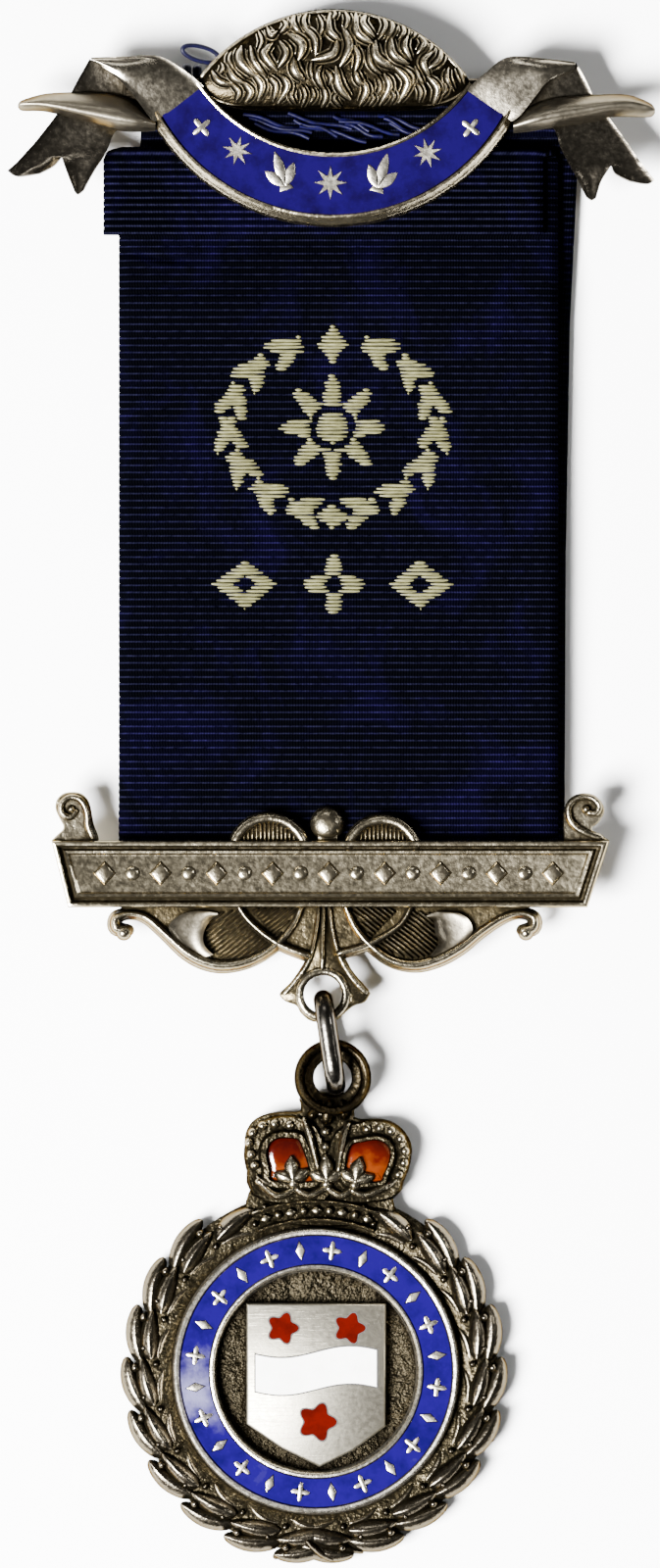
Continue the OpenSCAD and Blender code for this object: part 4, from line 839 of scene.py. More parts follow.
def horn(table):
    """Two flanks from each edge up to the ridge: height edge + (ridge - edge) sin 90 v."""
    rows = catmull(table, 6)
    v = np.linspace(0, 1, 7)[None]
    up = rows[:, 1:2] + (rows[:, 2:3] - rows[:, 1:2]) * v
    down = rows[:, 2:3] + (rows[:, 3:4] - rows[:, 2:3]) * v
    y = np.concatenate([up, down[:, 1:]], axis=1)
    swell = np.sin(np.concatenate([v[0], v[0, -2::-1]]) * math.pi / 2)
    z = HORN_EDGE_Z + (rows[:, 4:5] - HORN_EDGE_Z) * swell[None]
    x = np.broadcast_to(rows[:, :1], y.shape)
    return relief(np.stack([x, y, z], axis=-1), BANNER_Z + 0.1)


DOME_CENTRE, DOME_R, DOME_X = (0.2, 52.9), 14.3, 11.9
DOME_FOOT, DOME_EDGE_Z, DOME_RISE = 3.55, 4.3, 2.2
# How deep the ground lies under the locks' tops
LOCK_BED = 0.45


def dome_top(x):
    """The dome's bow: y0 + sqrt(r^2 - (x - x0)^2)."""
    return DOME_CENTRE[1] + np.sqrt(DOME_R**2 - (x - DOME_CENTRE[0]) ** 2)


def dome_low(x):
    """The dome's ledge, which turns up at both ends: 58.4 + 2 (|x - x0| / reach)^6."""
    return 58.4 + 2.0 * (np.abs(x - DOME_CENTRE[0]) / DOME_X) ** 6


def dome_y(x, v):
    """The place at a share v of the way from ledge to bow."""
    return dome_low(x) + (dome_top(x) - dome_low(x)) * v


def dome_z(x, v):
    """A lens: edge + rise sqrt(1 - u^2) sqrt(1 - 0.94 (2v - 1)^2)."""
    u = (x - DOME_CENTRE[0]) / DOME_X
    return DOME_EDGE_Z + DOME_RISE * np.sqrt(np.maximum(0, 1 - u**2)) * np.sqrt(1 - 0.94 * (2 * v - 1) ** 2)


def hair_ground():
    """The dome under the locks, sunk inside a narrow rim."""
    x = DOME_CENTRE[0] + DOME_X * 0.992 * np.sin(np.linspace(-math.pi / 2, math.pi / 2, 49))[:, None]
    v = np.concatenate([[0, 0.02, 0.05], np.linspace(0.09, 0.95, 15), [0.98, 1]])[None]
    z = dome_z(x, v) - LOCK_BED * ((v > 0.04) & (v < 0.99))
    return relief(np.stack(np.broadcast_arrays(x, dome_y(x, v), z), axis=-1), DOME_FOOT)


# Locks of hair in pixels of the photograph: top x, y, belly x, y, foot x, y, and the width in mm
LOCKS = [
    [277, 47, 270, 57, 281, 72, 0.8], [286, 45, 292.4, 56, 285, 69, 0.6],
    [296, 37, 309, 47, 305, 61, 0.9], [300, 63, 301, 74, 309, 82, 0.9],
    [300.4, 16, 299.4, 26, 306, 34.4, 0.6], [309, 30, 321, 41, 321.6, 57, 0.6],
    [343.6, 44, 340, 57, 321, 62.4, 0.8], [336.4, 17, 336.4, 33, 346, 42, 0.7],
    [350.4, 32, 357, 49, 348, 67, 0.8], [343, 72, 346, 89, 356, 101, 0.8],
    [327.6, 70, 323.6, 79, 329.6, 91, 0.6], [329.6, 91, 332.4, 101, 328, 110, 0.5],
    [308, 90, 311.6, 99, 308, 109, 0.4], [288, 80, 293.6, 90, 285, 104, 0.7],
    [274.4, 81, 281.6, 89, 279, 103, 0.5], [363, 16, 365, 35, 378, 44.4, 0.8],
    [360, 48, 365.6, 60, 362, 74, 0.6], [362.4, 74, 365, 83, 371, 88, 0.6],
    [371, 85, 373.6, 95, 367.6, 107, 0.7], [376, 51, 378, 67, 387, 76, 0.5],
    [383, 46, 384, 60, 400, 69.5, 0.9], [384.4, 80, 387.6, 90, 383.6, 100, 0.4],
    [392.4, 79, 397, 90, 388.4, 106, 0.7], [388.4, 17, 393.6, 28, 387, 40, 0.5],
    [373, 17, 370, 26, 380, 37, 0.7], [396.4, 18.4, 400.4, 29, 394.4, 42, 0.5],
    [399, 42, 401, 57, 414, 65.4, 0.8], [416, 38, 412.4, 49, 418.4, 61, 0.6],
    [404.4, 72, 416, 85, 407.6, 103, 0.8], [411.6, 71, 421, 79, 419.6, 89, 0.4],
    [427.6, 38, 432.4, 46, 426, 55, 0.6], [440, 55, 431.6, 65, 437, 78, 0.7],
    [449, 50, 448, 62, 437, 71, 0.6], [437, 81, 446, 92, 442, 107, 0.7],
    [425, 87, 429, 95, 427.6, 104, 0.4], [457, 72, 455.6, 82, 462, 92.4, 0.5],
    [466, 69, 470, 76, 473, 85, 0.4], [325, 18, 329, 28, 326, 39, 0.4], [273, 30, 277, 38, 282, 34, 0.5],
    [289, 22, 292.4, 28, 287, 34, 0.5], [313, 15, 310, 24, 315, 34, 0.5],
    [352, 14, 355, 22, 352, 31, 0.5], [409, 25, 412, 34, 407, 41, 0.5], [423, 70, 426, 78, 431, 87, 0.4],
    [333, 74, 338, 81, 336, 87, 0.5], [318, 65, 317, 74, 319, 82, 0.4], [437, 40, 440, 48, 435, 57, 0.4],
    [217.5, 75, 223.8, 84, 236.3, 87.5, 0.6], [236.3, 87, 243.8, 95, 241.3, 104, 0.5],
    [232.5, 67, 238, 80, 248.8, 86.3, 0.6], [248.8, 86, 256.3, 95, 251.3, 104, 0.7],
    [246.3, 51, 245.5, 64, 258.8, 77.5, 0.9], [258.8, 77, 267.5, 88, 263.8, 102, 0.7],
    [256.3, 51, 260, 65.5, 270, 77.5, 0.6], [264, 34, 267.5, 44, 264, 52, 0.4],
    [236, 55, 234, 62.5, 239, 73, 0.4], [452, 85, 455, 92, 450, 99, 0.4],
    [226, 66, 228, 71, 224, 77, 0.4], [318, 92, 320, 99, 316, 106, 0.4],
    [345, 96, 341, 102, 347, 109, 0.4], [378, 96, 381, 102, 377, 108, 0.4],
    [398, 93, 402, 99, 399, 106, 0.4], [300, 92, 297, 99, 301, 106, 0.4],
    [384, 12, 388, 16, 391, 22, 0.4], [340, 12, 342, 16, 339, 21, 0.4], [420, 30, 424, 34, 421, 40, 0.4],
]
# How much longer a lock is than its three points
LOCK_REACH = 1.14
# One pixel of the photograph in mm, and the part's origin in its pixels
PIXEL, PHOTO_MIDDLE = 0.085, (337.5, 801.0)


def from_photo(x, y):
    """Pixels of the photograph as millimetres of the part's frame."""
    return (np.asarray(x) - PHOTO_MIDDLE[0]) * PIXEL, (PHOTO_MIDDLE[1] - np.asarray(y)) * PIXEL


def dome_edge():
    """A thin plain moulding along the dome's bow and along its low ledge."""
    x = np.linspace(-11.2, 11.6, 81)
    foot = dome_z(x, 1) - LOCK_BED
    edges = ((dome_top(x) - 0.2, 0.55), (dome_low(x) + 0.2, 0.5))
    return [ridge(np.column_stack([x, y, foot, np.full((81, 2), [0.4, rise])])) for y, rise in edges]


def hair():
    """Curved locks on the dome: a curve through three points, as wide as w (sin 180 t)^0.6.

    Each has a finer strand along either side, which starts and ends a little later.
    """
    shapes = []
    for row in LOCKS:
        line = catmull(np.column_stack(from_photo(row[0:6:2], row[1:6:2])), 7)
        middle = line[len(line) // 2]
        line = middle + (line - middle) * LOCK_REACH
        side = left_of(np.gradient(line, axis=0))
        swell = np.sin(np.clip(np.linspace(0, 1, len(line)), 0.05, 0.95) * math.pi) ** 0.6
        for way, width, rise, cut in ((0, row[6], 0.62, 0), (1, 0.26, 0.34, 1), (-1, 0.26, 0.3, 2)):
            x, y = (line + side * (way * (row[6] * 0.5 * swell + 0.17))[:, None]).T
            v = (y - dome_low(x)) / (dome_top(x) - dome_low(x))
            foot = dome_z(x, np.clip(v, 0.02, 0.985)) - 0.5
            rows = np.column_stack([x, y, foot, width * swell, 0.16 + rise * swell])
            inner = slice(cut, len(rows) - cut)
            rows = rows[inner][((v > 0.03) & (v < 0.97))[inner]]
            if len(rows) > 4:
                shapes.append(ridge(rows, 8, 1.0))
    return [*shapes, *dome_edge()]


HANGER_Y, HANGER_Z, HANGER_X = 58.0, 1.85, (-17.75, 22.75)
PIN_Y, HINGE_X, CATCH_X = 60.9, -17.0, 17.3


def fittings():
    """Hanger bar on its posts, solder pads, pin hinge, catch and the strap behind the dome.

    Each row of blocks is [x, y, width, length, low, high].
    """
    x = np.linspace(*HANGER_X, 24)
    bar = tube(np.column_stack([x, np.full_like(x, HANGER_Y), np.full_like(x, HANGER_Z)]), 0.5, 16)
    pad, post_top = (BANNER_Z - 0.25, BANNER_Z + 0.38), BANNER_Z + 0.5
    blocks = []
    for x in HANGER_X:
        blocks += [[x, HANGER_Y, 0.9, 1.1, HANGER_Z - 0.6, BANNER_Z + 0.42], [x, HANGER_Y, 1.5, 1.6, *pad]]
    blocks += [[x, PIN_Y, 2.2, 2.6, *pad] for x in (HINGE_X, CATCH_X)]
    blocks += [[HINGE_X, PIN_Y + by, 1.7, 0.5, 0, post_top] for by in (-0.8, 0.8)]
    blocks += [[CATCH_X, PIN_Y + by, 0.9, 0.38, 0, post_top] for by in (-0.76, 0.76)]
    blocks += [[CATCH_X, PIN_Y, 0.9, 1.9, 0, 0.5], [CATCH_X, PIN_Y, 0.9, 1.9, 1.8, post_top]]
    blocks.append([0, 60.75, 29, 0.9, DOME_FOOT + 0.03, DOME_FOOT + 0.56])
    return [bar, *(block(*row) for row in blocks)]


def silver_piece(node, name, shapes, kind, smooth=38):
    """A piece of one of the three silver castings."""
    piece(name, shapes, SILVER[kind], [node], smooth)


tails = [tail(TAIL_LEFT, TAIL_LEFT_POINTS), tail(TAIL_RIGHT, TAIL_RIGHT_POINTS)]
silver_piece("brooch", "banner", [banner()], "plate")
silver_piece("brooch", "banner_ornament", banner_ornament(), "pale")
piece("banner_glass", [banner_glass()], cobalt, ["scroll_enamel"])
silver_piece("brooch", "banner_folds", [fold(FOLD_LEFT), fold(FOLD_RIGHT)], "satin")
silver_piece("brooch", "banner_tails", tails, "shaded")
silver_piece("brooch", "horns", [horn(HORN_LEFT), horn(HORN_RIGHT)], "horn", 60)
silver_piece("brooch", "hair_ground", [hair_ground()], "deep")
silver_piece("brooch", "hair", hair(), "hair", 60)
silver_piece("brooch", "brooch_fittings", fittings(), "shaded")


# Ribbon


# The strip's width and thickness, and from one rib to the next
RIBBON_W, RIBBON_T, RIB = 38.1, 1.0, 0.612
# The middle and the radius of the hem's turn, and the height of the front
HEM_Y, HEM_Z, HEM_R = 54.35, 2.42, 0.55
FRONT_Z = 2.55
# How far along the strip its ribs are modelled, from its cut end down the front
RIBBED = 70.9
RIB_RISE, SCALLOP = 0.10, 0.07
SELVEDGE_IN, SELVEDGE_THIN = 0.05, 0.22


def bend(y, z, r, a, x):
    """An arc of the route: y + r cos a, z + r sin a."""
    return np.column_stack([y + r * np.cos(a), z + r * np.sin(a), np.broadcast_to(x, a.shape)])


def ribbon_route():
    """The strip's middle line [y, z, middle x], from the hem's cut end to the end rolled on the bar."""
    spans = ((90, -90, 13), (90, 270, 25), (-90, 90, 25))
    hem, foot, roll = (np.radians(np.linspace(*span)) for span in spans)
    return np.concatenate([
        [[47.7, 2.97, -0.68], [51.0, 2.97, -0.68]],
        bend(HEM_Y, HEM_Z, HEM_R, hem, -0.02 - 0.42 * hem),
        [[47, 1.87, 0.65], [44.5, 2.2, 0.65], [42, 2.5, 0.65], [20, FRONT_Z, 0.65], [0, FRONT_Z, 0.65]],
        bend(-7.9, 1.55, 1.0, foot, 0.65 + 0.19 * (foot - math.pi / 2)),
        [[0, 0.55, 1.25], [20, 0.55, 1.35], [40, 0.6, 1.7], [54, 0.7, 2.4]],
        bend(58, 1.85, 1.15, roll, 2.6),
        [[56.2, 3.0, 2.6]],
    ])


# Creases of the front: [x0, y0, x1, y1, width, rise]
CREASES = [
    [-18.8, 46.3, -11.6, 45.3, 0.3, -0.22],
    [-18.4, 45.6, -12.0, 44.8, 0.35, 0.12],
    [12.5, 39.4, 20.0, 38.5, 0.5, -0.1],
    [12.0, 51.0, 18.3, 50.6, 0.35, 0.08],
    [-4.0, 44.6, 6.0, 45.6, 0.4, 0.07],
]


def creases(x, y):
    """Each crease is rise exp(-(d / width)^2) at a distance d from its line, and fades at its ends."""
    rise = np.zeros(np.broadcast(x, y).shape)
    for x0, y0, x1, y1, width, lift in CREASES:
        run = np.array([x1 - x0, y1 - y0])
        length = np.linalg.norm(run)
        run = run / length
        at = (x - x0) * run[0] + (y - y0) * run[1]
        off = -(x - x0) * run[1] + (y - y0) * run[0]
        fade = np.clip(at / 1.5, 0, 1) * np.clip((length - at) / 1.5, 0, 1)
        rise += lift * fade * np.exp(-((off / width) ** 2))
    return rise


def ribbon():
    """A strip carried along its route: half thickness plus a rib |sin|^0.7 on each side, scalloped edges.

    Past the ribs it is smooth. Its front carries the creases and a faint wave.
    """
    route = ribbon_route()
    far = np.concatenate([[0], np.cumsum(np.linalg.norm(np.diff(route[:, :2], axis=0), axis=1))])
    s = np.concatenate([np.arange(0, RIBBED, RIB / 6), np.linspace(RIBBED, far[-1], 300)])
    line = interpolated(s, far, route)
    run = np.gradient(line[:, :2], s, axis=0)
    left = left_of(run)
    u = np.linspace(-1, 1, 41)
    u = np.sign(u) * np.abs(u) ** 0.96
    rib = np.abs(np.sin(math.pi * s / RIB)) ** 0.7
    smooth = s > RIBBED
    lift = np.where(smooth, RIB_RISE / 2, RIB_RISE * (rib - 0.5))[:, None]
    scallop = SCALLOP * np.where(smooth, 0.5, rib)[:, None]
    x = line[:, 2, None] + u * (RIBBON_W / 2 - SELVEDGE_IN + scallop)
    off = (RIBBON_T - RIB_RISE) / 2 + lift * (1 - 0.5 * np.abs(u) ** 30) - SELVEDGE_THIN * np.abs(u) ** 60
    sides = []
    for way in (1, -1):
        y, z = np.moveaxis(line[:, None, :2] - left[:, None] * (way * off)[..., None], -1, 0)
        shown = (((run[:, 0] < 0) == (way == 1)) & (s < RIBBED))[:, None]
        wave = 0.05 * np.sin(x * 0.31 + y * 0.2) * np.cos(y * 0.23)
        z = z + np.where(shown, creases(x, y), 0) + np.where(shown, wave, 0)
        sides.append(np.stack([x, y, z], axis=-1))
    loops = np.concatenate([sides[0], sides[1][:, ::-1]], axis=1)
    across = np.concatenate([u, u[::-1]]) * RIBBON_W / 2
    uv = np.stack(np.broadcast_arrays(across, (s / RIB)[:, None]), axis=-1).reshape(-1, 2)
    return skin(loops), uv


ribbon_shape, ribbon_uv = ribbon()
ribbon_piece = piece("ribbon", [ribbon_shape], silk, ["ribbon"], smooth=80, uv=ribbon_uv)


MOTIF_CENTRE = (0.1, 31.0)
SILK_TOP = FRONT_Z + RIBBON_T / 2 + 0.02
# The gold's first and last row, the middle of its three small figures, and how far a float runs
GOLD_TOP, GOLD_END, SMALL_Y, FLOAT_RUN = 41.0, 14.5, 17.4, 3.4
# Half widths of the wreath, and a leaf's half length and half width
WREATH_X, WREATH_Y = 9.0, 7.4
WOVEN_LEAF = (1.75, 0.62)
FLOAT_PITCH = RIB / 2


def woven_ornament(x, y):
    """Where the gold lies, from the middle of the ornament: a rosette in an open wreath of laurel."""
    r = np.hypot(x, y)
    shown = r < 4.6 * (0.74 + 0.26 * np.cos(8 * np.arctan2(y, x)))
    shown &= ~((r > 1.35) & (r < 1.95))
    for side in (-1, 1):
        for k in range(7):
            at = math.radians(-78 + k * 23)
            cx, cy = side * WREATH_X * math.cos(at), WREATH_Y * math.sin(at)
            for lean, out in ((34, 0.75), (-30, -0.75)):
                way = at + math.pi / 2 + math.radians(lean)
                ax, ay = side * math.cos(way), math.sin(way)
                px = x - cx - side * math.cos(at) * out - ax * 0.7
                py = y - cy - math.sin(at) * out - ay * 0.7
                along, across = (px * ax + py * ay) / WOVEN_LEAF[0], (px * ay - py * ax) / WOVEN_LEAF[1]
                shown |= along**2 + across**2 < 1
    shown |= (np.abs(x) / 1.5 + np.abs(y + 7.7) / 1.1) < 1
    shown |= (np.abs(x) / 1.3 + np.abs(y - 7.2) / 1.7) < 1
    return shown


def small_ornament(x, y):
    """Three small figures in a row below it: a lozenge, a quatrefoil and a lozenge, with open middles."""
    r, a = np.hypot(x - 0.1, y), np.arctan2(y, x - 0.1)
    shown = (r < 2.6 * (0.7 + 0.3 * np.cos(4 * a))) & (r > 0.75)
    for cx in (-7.6, 7.6):
        away = np.abs(x - cx) / 2.8 + np.abs(y) / 2.15
        shown |= (away < 1) & (away > 0.36)
    return shown


def floats():
    """One thread float for each run of the ornament in a row: a flat half-round bar, tied every 3 mm.

    Sines of the row's number make its ends and its lean a little uneven.
    """
    x = np.arange(-11.5, 11.5, PIXEL)
    shapes = []
    for k, y in enumerate(np.arange(GOLD_TOP, GOLD_END, -FLOAT_PITCH)):
        wide = woven_ornament(x, np.full_like(x, y - MOTIF_CENTRE[1]))
        wide |= small_ornament(x, np.full_like(x, y - SMALL_Y)) & (y < 20)
        step = np.diff(np.concatenate([[0], wide.astype(int), [0]]))
        starts, stops = np.nonzero(step == 1)[0], np.nonzero(step == -1)[0]
        for a, b in zip(starts, stops):
            x0 = MOTIF_CENTRE[0] + x[a] - 0.12 + 0.1 * math.sin(k * 5.1 + a)
            x1 = MOTIF_CENTRE[0] + x[min(b, len(x) - 1)] + 0.12 + 0.1 * math.sin(k * 3.7 + b)
            cuts = np.linspace(x0, x1, max(1, round((x1 - x0) / FLOAT_RUN)) + 1)
            cuts[1:-1] += 0.5 * math.sin(k * 2.3)
            for left, right in zip(cuts[:-1], cuts[1:]):
                run = np.linspace(left + 0.14, right - 0.14, 5)
                lean = 0.02 * math.sin(k * 7.7 + left)
                swell = np.array([0.6, 1, 1, 1, 0.6])
                line = [run, y + lean * (run - left), np.full(5, SILK_TOP - 0.1)]
                shapes.append(ridge(np.column_stack([*line, 0.29 * swell, 0.2 * swell]), 6))
    return shapes


gold_piece = piece("woven_gold", floats(), gold, ["ribbon"], smooth=80)


THREAD_R, STRAND_R = 0.2, 0.17
# The loop's middle in pixels of the photograph, and the knot's in mm
THREAD_LOOP, KNOT = (205, 55.5), (-12.2, 61.9)
# The first bundle of tying threads, from one bundle to the next, and where their strands start
BUNDLE_X, BUNDLE_PITCH, TIED_Y, TIED_Z = -7.6, 3.9, 58.1, 3.66


def loose_thread():
    """The thread that ties the ribbon: a narrow slanting loop left of the hair, and its dark knot."""
    a = np.linspace(0, 2 * math.pi, 49)[:-1]
    c, s = np.cos(a), np.sin(a)
    x, y = from_photo(THREAD_LOOP[0] + 18.5 * c + 2.0 * s, THREAD_LOOP[1] + 5.0 * c - 7.0 * s)
    path = np.column_stack([x, y, 3.9 - 0.55 * c])
    turns = [(KNOT[0] + 0.6 * math.cos(k * 2.1), KNOT[1] + 0.3 * math.sin(k * 2.9)) for k in range(7)]
    return [tube(path, THREAD_R, 8, closed=True), *(bead(x, y, 2.7, 0.4, 0.7) for x, y in turns)]


def tying_threads():
    """Strands over the ribbon's roll in four loose bundles, each a shallow wave down to the right."""
    shapes = []
    t = np.linspace(0, 1, 21)
    for k in range(12):
        bundle, strand = k % 4, k // 4
        start = BUNDLE_X + BUNDLE_PITCH * bundle + 0.5 * strand
        reach = 5.2 + 1.1 * math.sin(k * 2.3) - 0.5 * bundle
        drop = 1.3 + 0.3 * math.sin(k * 3.1)
        y = TIED_Y - 0.42 * strand - drop * t + 0.16 * np.sin(t * 7 + 1.9 * k)
        z = TIED_Z + 0.12 * np.sin(t * 5 + k) + 0.05 * strand
        shapes.append(tube(np.column_stack([start + reach * t, y, z]), STRAND_R, 8))
    return shapes


piece("tying_threads", tying_threads(), thread_blue, smooth=80)
piece("loose_thread", loose_thread(), thread_dark, smooth=80)


# Lower bar


PLATE_Z = 3.2
PLATE_OUTLINE = np.array([[-24.2, -4.8], [-22.75, -10.6], [22.2, -10.6], [24.1, -4.8]])
RIM_OUTLINE = np.array([[-23.6, -5.35], [-22.45, -10.1], [21.8, -10.1], [23.3, -5.35]])
PANEL_OUTLINE = np.array([[-22.75, -5.95], [-21.85, -9.4], [21.2, -9.4], [22.3, -5.95]])
WORK_Z = 2.3


def framed_plate():
    """Outlines one above another: a rounded rim, a sunk groove and a flat field inside a thin bead.

    Each lies at a share of the way from one outline to the next, at a height.
    """
    inner = PANEL_OUTLINE + (PANEL_OUTLINE.mean(axis=0) - PANEL_OUTLINE) * [0.012, 0.12]
    rim = [[0.0, PLATE_Z], [0.0, 4.5], [0.08, 4.76], [0.22, 4.9], [0.5, 4.95], [0.8, 4.9], [0.96, 4.74]]
    groove = [[0.12, 4.3], [0.34, 4.28], [0.46, 4.56], [0.64, 4.72], [0.95, 4.68]]
    field = [[0.6, 4.48], [0.9, 4.47]]
    outlines = [PLATE_OUTLINE, RIM_OUTLINE, PANEL_OUTLINE, inner]
    t = np.arange(40)[:, None] / 40
    loops = []
    for a, b, rows in zip(outlines, outlines[1:], (rim, groove, field)):
        for share, z in rows:
            loop = a + (b - a) * share
            edges = loop[:, None] + (np.roll(loop, -1, axis=0) - loop)[:, None] * t
            loops.append(at_height(edges.reshape(-1, 2), z))
    return carried(loops)


MARKS_X, MARKS_Y = np.linspace(-19.6, 19.2, 17), -7.65


def stamped_marks():
    """A plain running row on the field: lozenges and round studs by turns."""
    stud = [[0.62, 4.4], [0.58, 4.62], [0.42, 4.76], [0.2, 4.8], [0, 4.8]]
    shapes = []
    for i, x in enumerate(MARKS_X):
        place = (x, MARKS_Y)
        shapes.append(dome(stud, place) if i % 2 else raised(lozenge(0.95, 1.05) + place, 4.4, 4.78, 0.22))
    return shapes


EAR_LEFT = [
    [-24.2, -4.8], [-23.7, -4.3], [-23.15, -3.7], [-23.5, -2.9], [-23.85, -2.1], [-23.75, -1.3],
    [-23.2, -0.75], [-22.4, -0.6], [-21.6, -0.75], [-21.0, -1.4], [-20.75, -2.3], [-20.55, -3.4],
    [-20.2, -4.3], [-20.1, -4.9],
]
EAR_RIGHT = [
    [24.1, -4.8], [23.3, -4.3], [22.6, -3.8], [23.2, -3.2], [23.65, -2.4], [23.5, -1.6], [22.9, -0.95],
    [22.1, -0.7], [21.2, -0.85], [20.5, -1.4], [20.15, -2.3], [20.1, -3.4], [20.15, -4.3], [20.15, -4.9],
]
EAR_RIDGES = [
    [[-20.6, -4.6, 3.9, 0.7, 0.5], [-21.0, -3.6, 4.0, 0.7, 0.6], [-21.15, -2.3, 4.1, 0.6, 0.6],
     [-21.7, -1.3, 4.1, 0.6, 0.6], [-22.6, -1.05, 4.1, 0.6, 0.6], [-23.3, -1.6, 4.1, 0.6, 0.6],
     [-23.3, -2.4, 4.1, 0.6, 0.6], [-22.6, -2.8, 4.1, 0.6, 0.55], [-22.1, -2.3, 4.1, 0.5, 0.5]],
    [[23.3, -4.6, 3.9, 0.7, 0.5], [21.6, -3.9, 4.0, 0.7, 0.6], [20.7, -3.0, 4.1, 0.6, 0.6],
     [20.6, -1.9, 4.1, 0.6, 0.6], [21.3, -1.15, 4.1, 0.6, 0.6], [22.4, -1.05, 4.1, 0.6, 0.6],
     [23.2, -1.7, 4.1, 0.6, 0.6], [23.0, -2.4, 4.1, 0.6, 0.55], [22.3, -2.4, 4.1, 0.5, 0.5]],
]
# The arches' middles and radii, the height of their centres, their band's width and their angles
ARCHES = [[-5.35, 3.65], [4.45, 3.5]]
ARCH_Y, ARCH_BAND, ARCH_ANGLES = -6.0, 0.8, np.linspace(14, 166, 41)
REED_PITCH = 0.36


def half_round(cx, r):
    """An arch's rounded band."""
    middle = np.array([cx, ARCH_Y]) + polar(r - 0.62 * ARCH_BAND, ARCH_ANGLES)
    return even_ridge(middle, [3.3, 1.35 * ARCH_BAND, 1.35], 14, 0.55)


def arch_ground(cx, r):
    """The sunk ground inside an arch, with upright reeds."""
    inner = r - ARCH_BAND
    ground = np.array([cx, ARCH_Y]) + polar(inner, ARCH_ANGLES)
    shapes = [plate(ground, [[0, PLATE_Z], [0, PLATE_Z + 0.8]])]
    for x in np.arange(-7, 8) * REED_PITCH:
        top = math.sqrt(max(inner**2 - x**2, 0.01))
        if top > 1.35:
            reed = [[cx + x, ARCH_Y + 1.0], [cx + x, ARCH_Y + top - 0.05]]
            shapes.append(even_ridge(reed, [3.9, 0.26, 0.32], 6))
    return shapes


SCROLLS = [
    [[-17.6, -12.6, 2.6, 0.7, 1.2], [-18.6, -12.4, 2.5, 0.9, 1.3], [-18.6, -11.5, 2.5, 0.8, 1.3],
     [-17.4, -11.15, 2.5, 0.7, 1.3], [-16.0, -11.5, 2.5, 0.75, 1.3], [-14.4, -12.85, 2.5, 0.8, 1.4],
     [-12.5, -14.5, 2.5, 0.95, 1.4], [-10.8, -15.35, 2.5, 1.0, 1.4], [-9.0, -15.6, 2.5, 0.95, 1.4],
     [-6.8, -15.1, 2.5, 0.85, 1.4], [-4.7, -13.8, 2.5, 0.75, 1.5], [-3.3, -12.2, 2.5, 0.65, 1.4],
     [-2.5, -10.4, 2.5, 0.6, 1.4]],
    [[-8.1, -10.4, 2.5, 0.6, 1.4], [-7.0, -11.9, 2.5, 0.6, 1.4], [-4.7, -13.7, 2.5, 0.7, 1.5],
     [-2.0, -14.8, 2.5, 0.75, 1.5]],
    [[16.6, -12.6, 2.6, 0.7, 1.2], [17.5, -12.4, 2.5, 0.9, 1.3], [17.55, -11.5, 2.5, 0.8, 1.3],
     [16.4, -11.1, 2.5, 0.7, 1.3], [14.9, -11.5, 2.5, 0.75, 1.3], [13.0, -12.7, 2.5, 0.8, 1.4],
     [11.2, -14.1, 2.5, 0.9, 1.4], [9.3, -15.1, 2.5, 0.95, 1.4], [7.3, -15.6, 2.5, 0.9, 1.4],
     [5.2, -15.2, 2.5, 0.8, 1.4], [3.3, -13.8, 2.5, 0.75, 1.5], [2.0, -12.2, 2.5, 0.65, 1.4],
     [1.2, -10.4, 2.5, 0.6, 1.4]],
    [[7.0, -10.4, 2.5, 0.6, 1.4], [5.9, -12.2, 2.5, 0.6, 1.4], [3.3, -13.8, 2.5, 0.7, 1.5],
     [0.7, -14.6, 2.5, 0.75, 1.5]],
]
GROUND_LEFT = [
    [-17.6, -10.3], [-16.2, -11.3], [-15.2, -12.0], [-13.4, -13.7], [-11.6, -15.0], [-9.2, -15.6],
    [-6.8, -15.0], [-4.6, -13.9], [-1.6, -14.6], [-1.4, -12.0], [-1.2, -10.3],
]
GROUND_RIGHT = [
    [16.6, -10.3], [15.0, -11.3], [13.8, -12.0], [11.6, -13.8], [9.4, -15.1], [7.3, -15.6], [5.2, -15.1],
    [3.3, -13.9], [0.5, -14.4], [0.2, -12.0], [0.2, -10.3],
]
LEAF_LEFT = [
    [[-9.7, -11.3, 3.6], [-9.8, -11.2, 3.7], [-9.9, -11.1, 3.7], [-10.1, -11.0, 3.6]],
    [[-10.5, -11.8, 3.9], [-10.9, -11.5, 3.6], [-11.4, -11.2, 3.6], [-12.0, -10.95, 3.8]],
    [[-11.05, -12.9, 4.0], [-11.7, -12.6, 3.6], [-12.6, -12.2, 3.6], [-13.6, -11.6, 3.8]],
    [[-10.95, -13.9, 4.0], [-11.8, -13.8, 3.6], [-12.8, -13.5, 3.6], [-14.0, -12.6, 3.9]],
    [[-10.2, -14.7, 3.9], [-11.0, -14.9, 3.7], [-11.8, -14.8, 3.7], [-12.7, -14.4, 3.9]],
]
LEAF_RIGHT = [
    [[8.2, -11.45, 3.6], [8.4, -11.3, 3.7], [8.7, -11.15, 3.7], [9.1, -11.0, 3.6]],
    [[8.9, -11.8, 3.9], [9.5, -11.5, 3.6], [10.2, -11.2, 3.6], [11.0, -11.1, 3.8]],
    [[9.05, -12.9, 4.0], [9.9, -12.6, 3.6], [10.9, -12.3, 3.6], [12.0, -11.8, 3.8]],
    [[9.35, -13.7, 4.0], [10.1, -13.7, 3.6], [11.1, -13.4, 3.6], [12.2, -12.8, 3.9]],
    [[8.6, -14.8, 3.9], [9.3, -14.9, 3.7], [10.2, -14.6, 3.7], [11.1, -14.0, 3.9]],
]
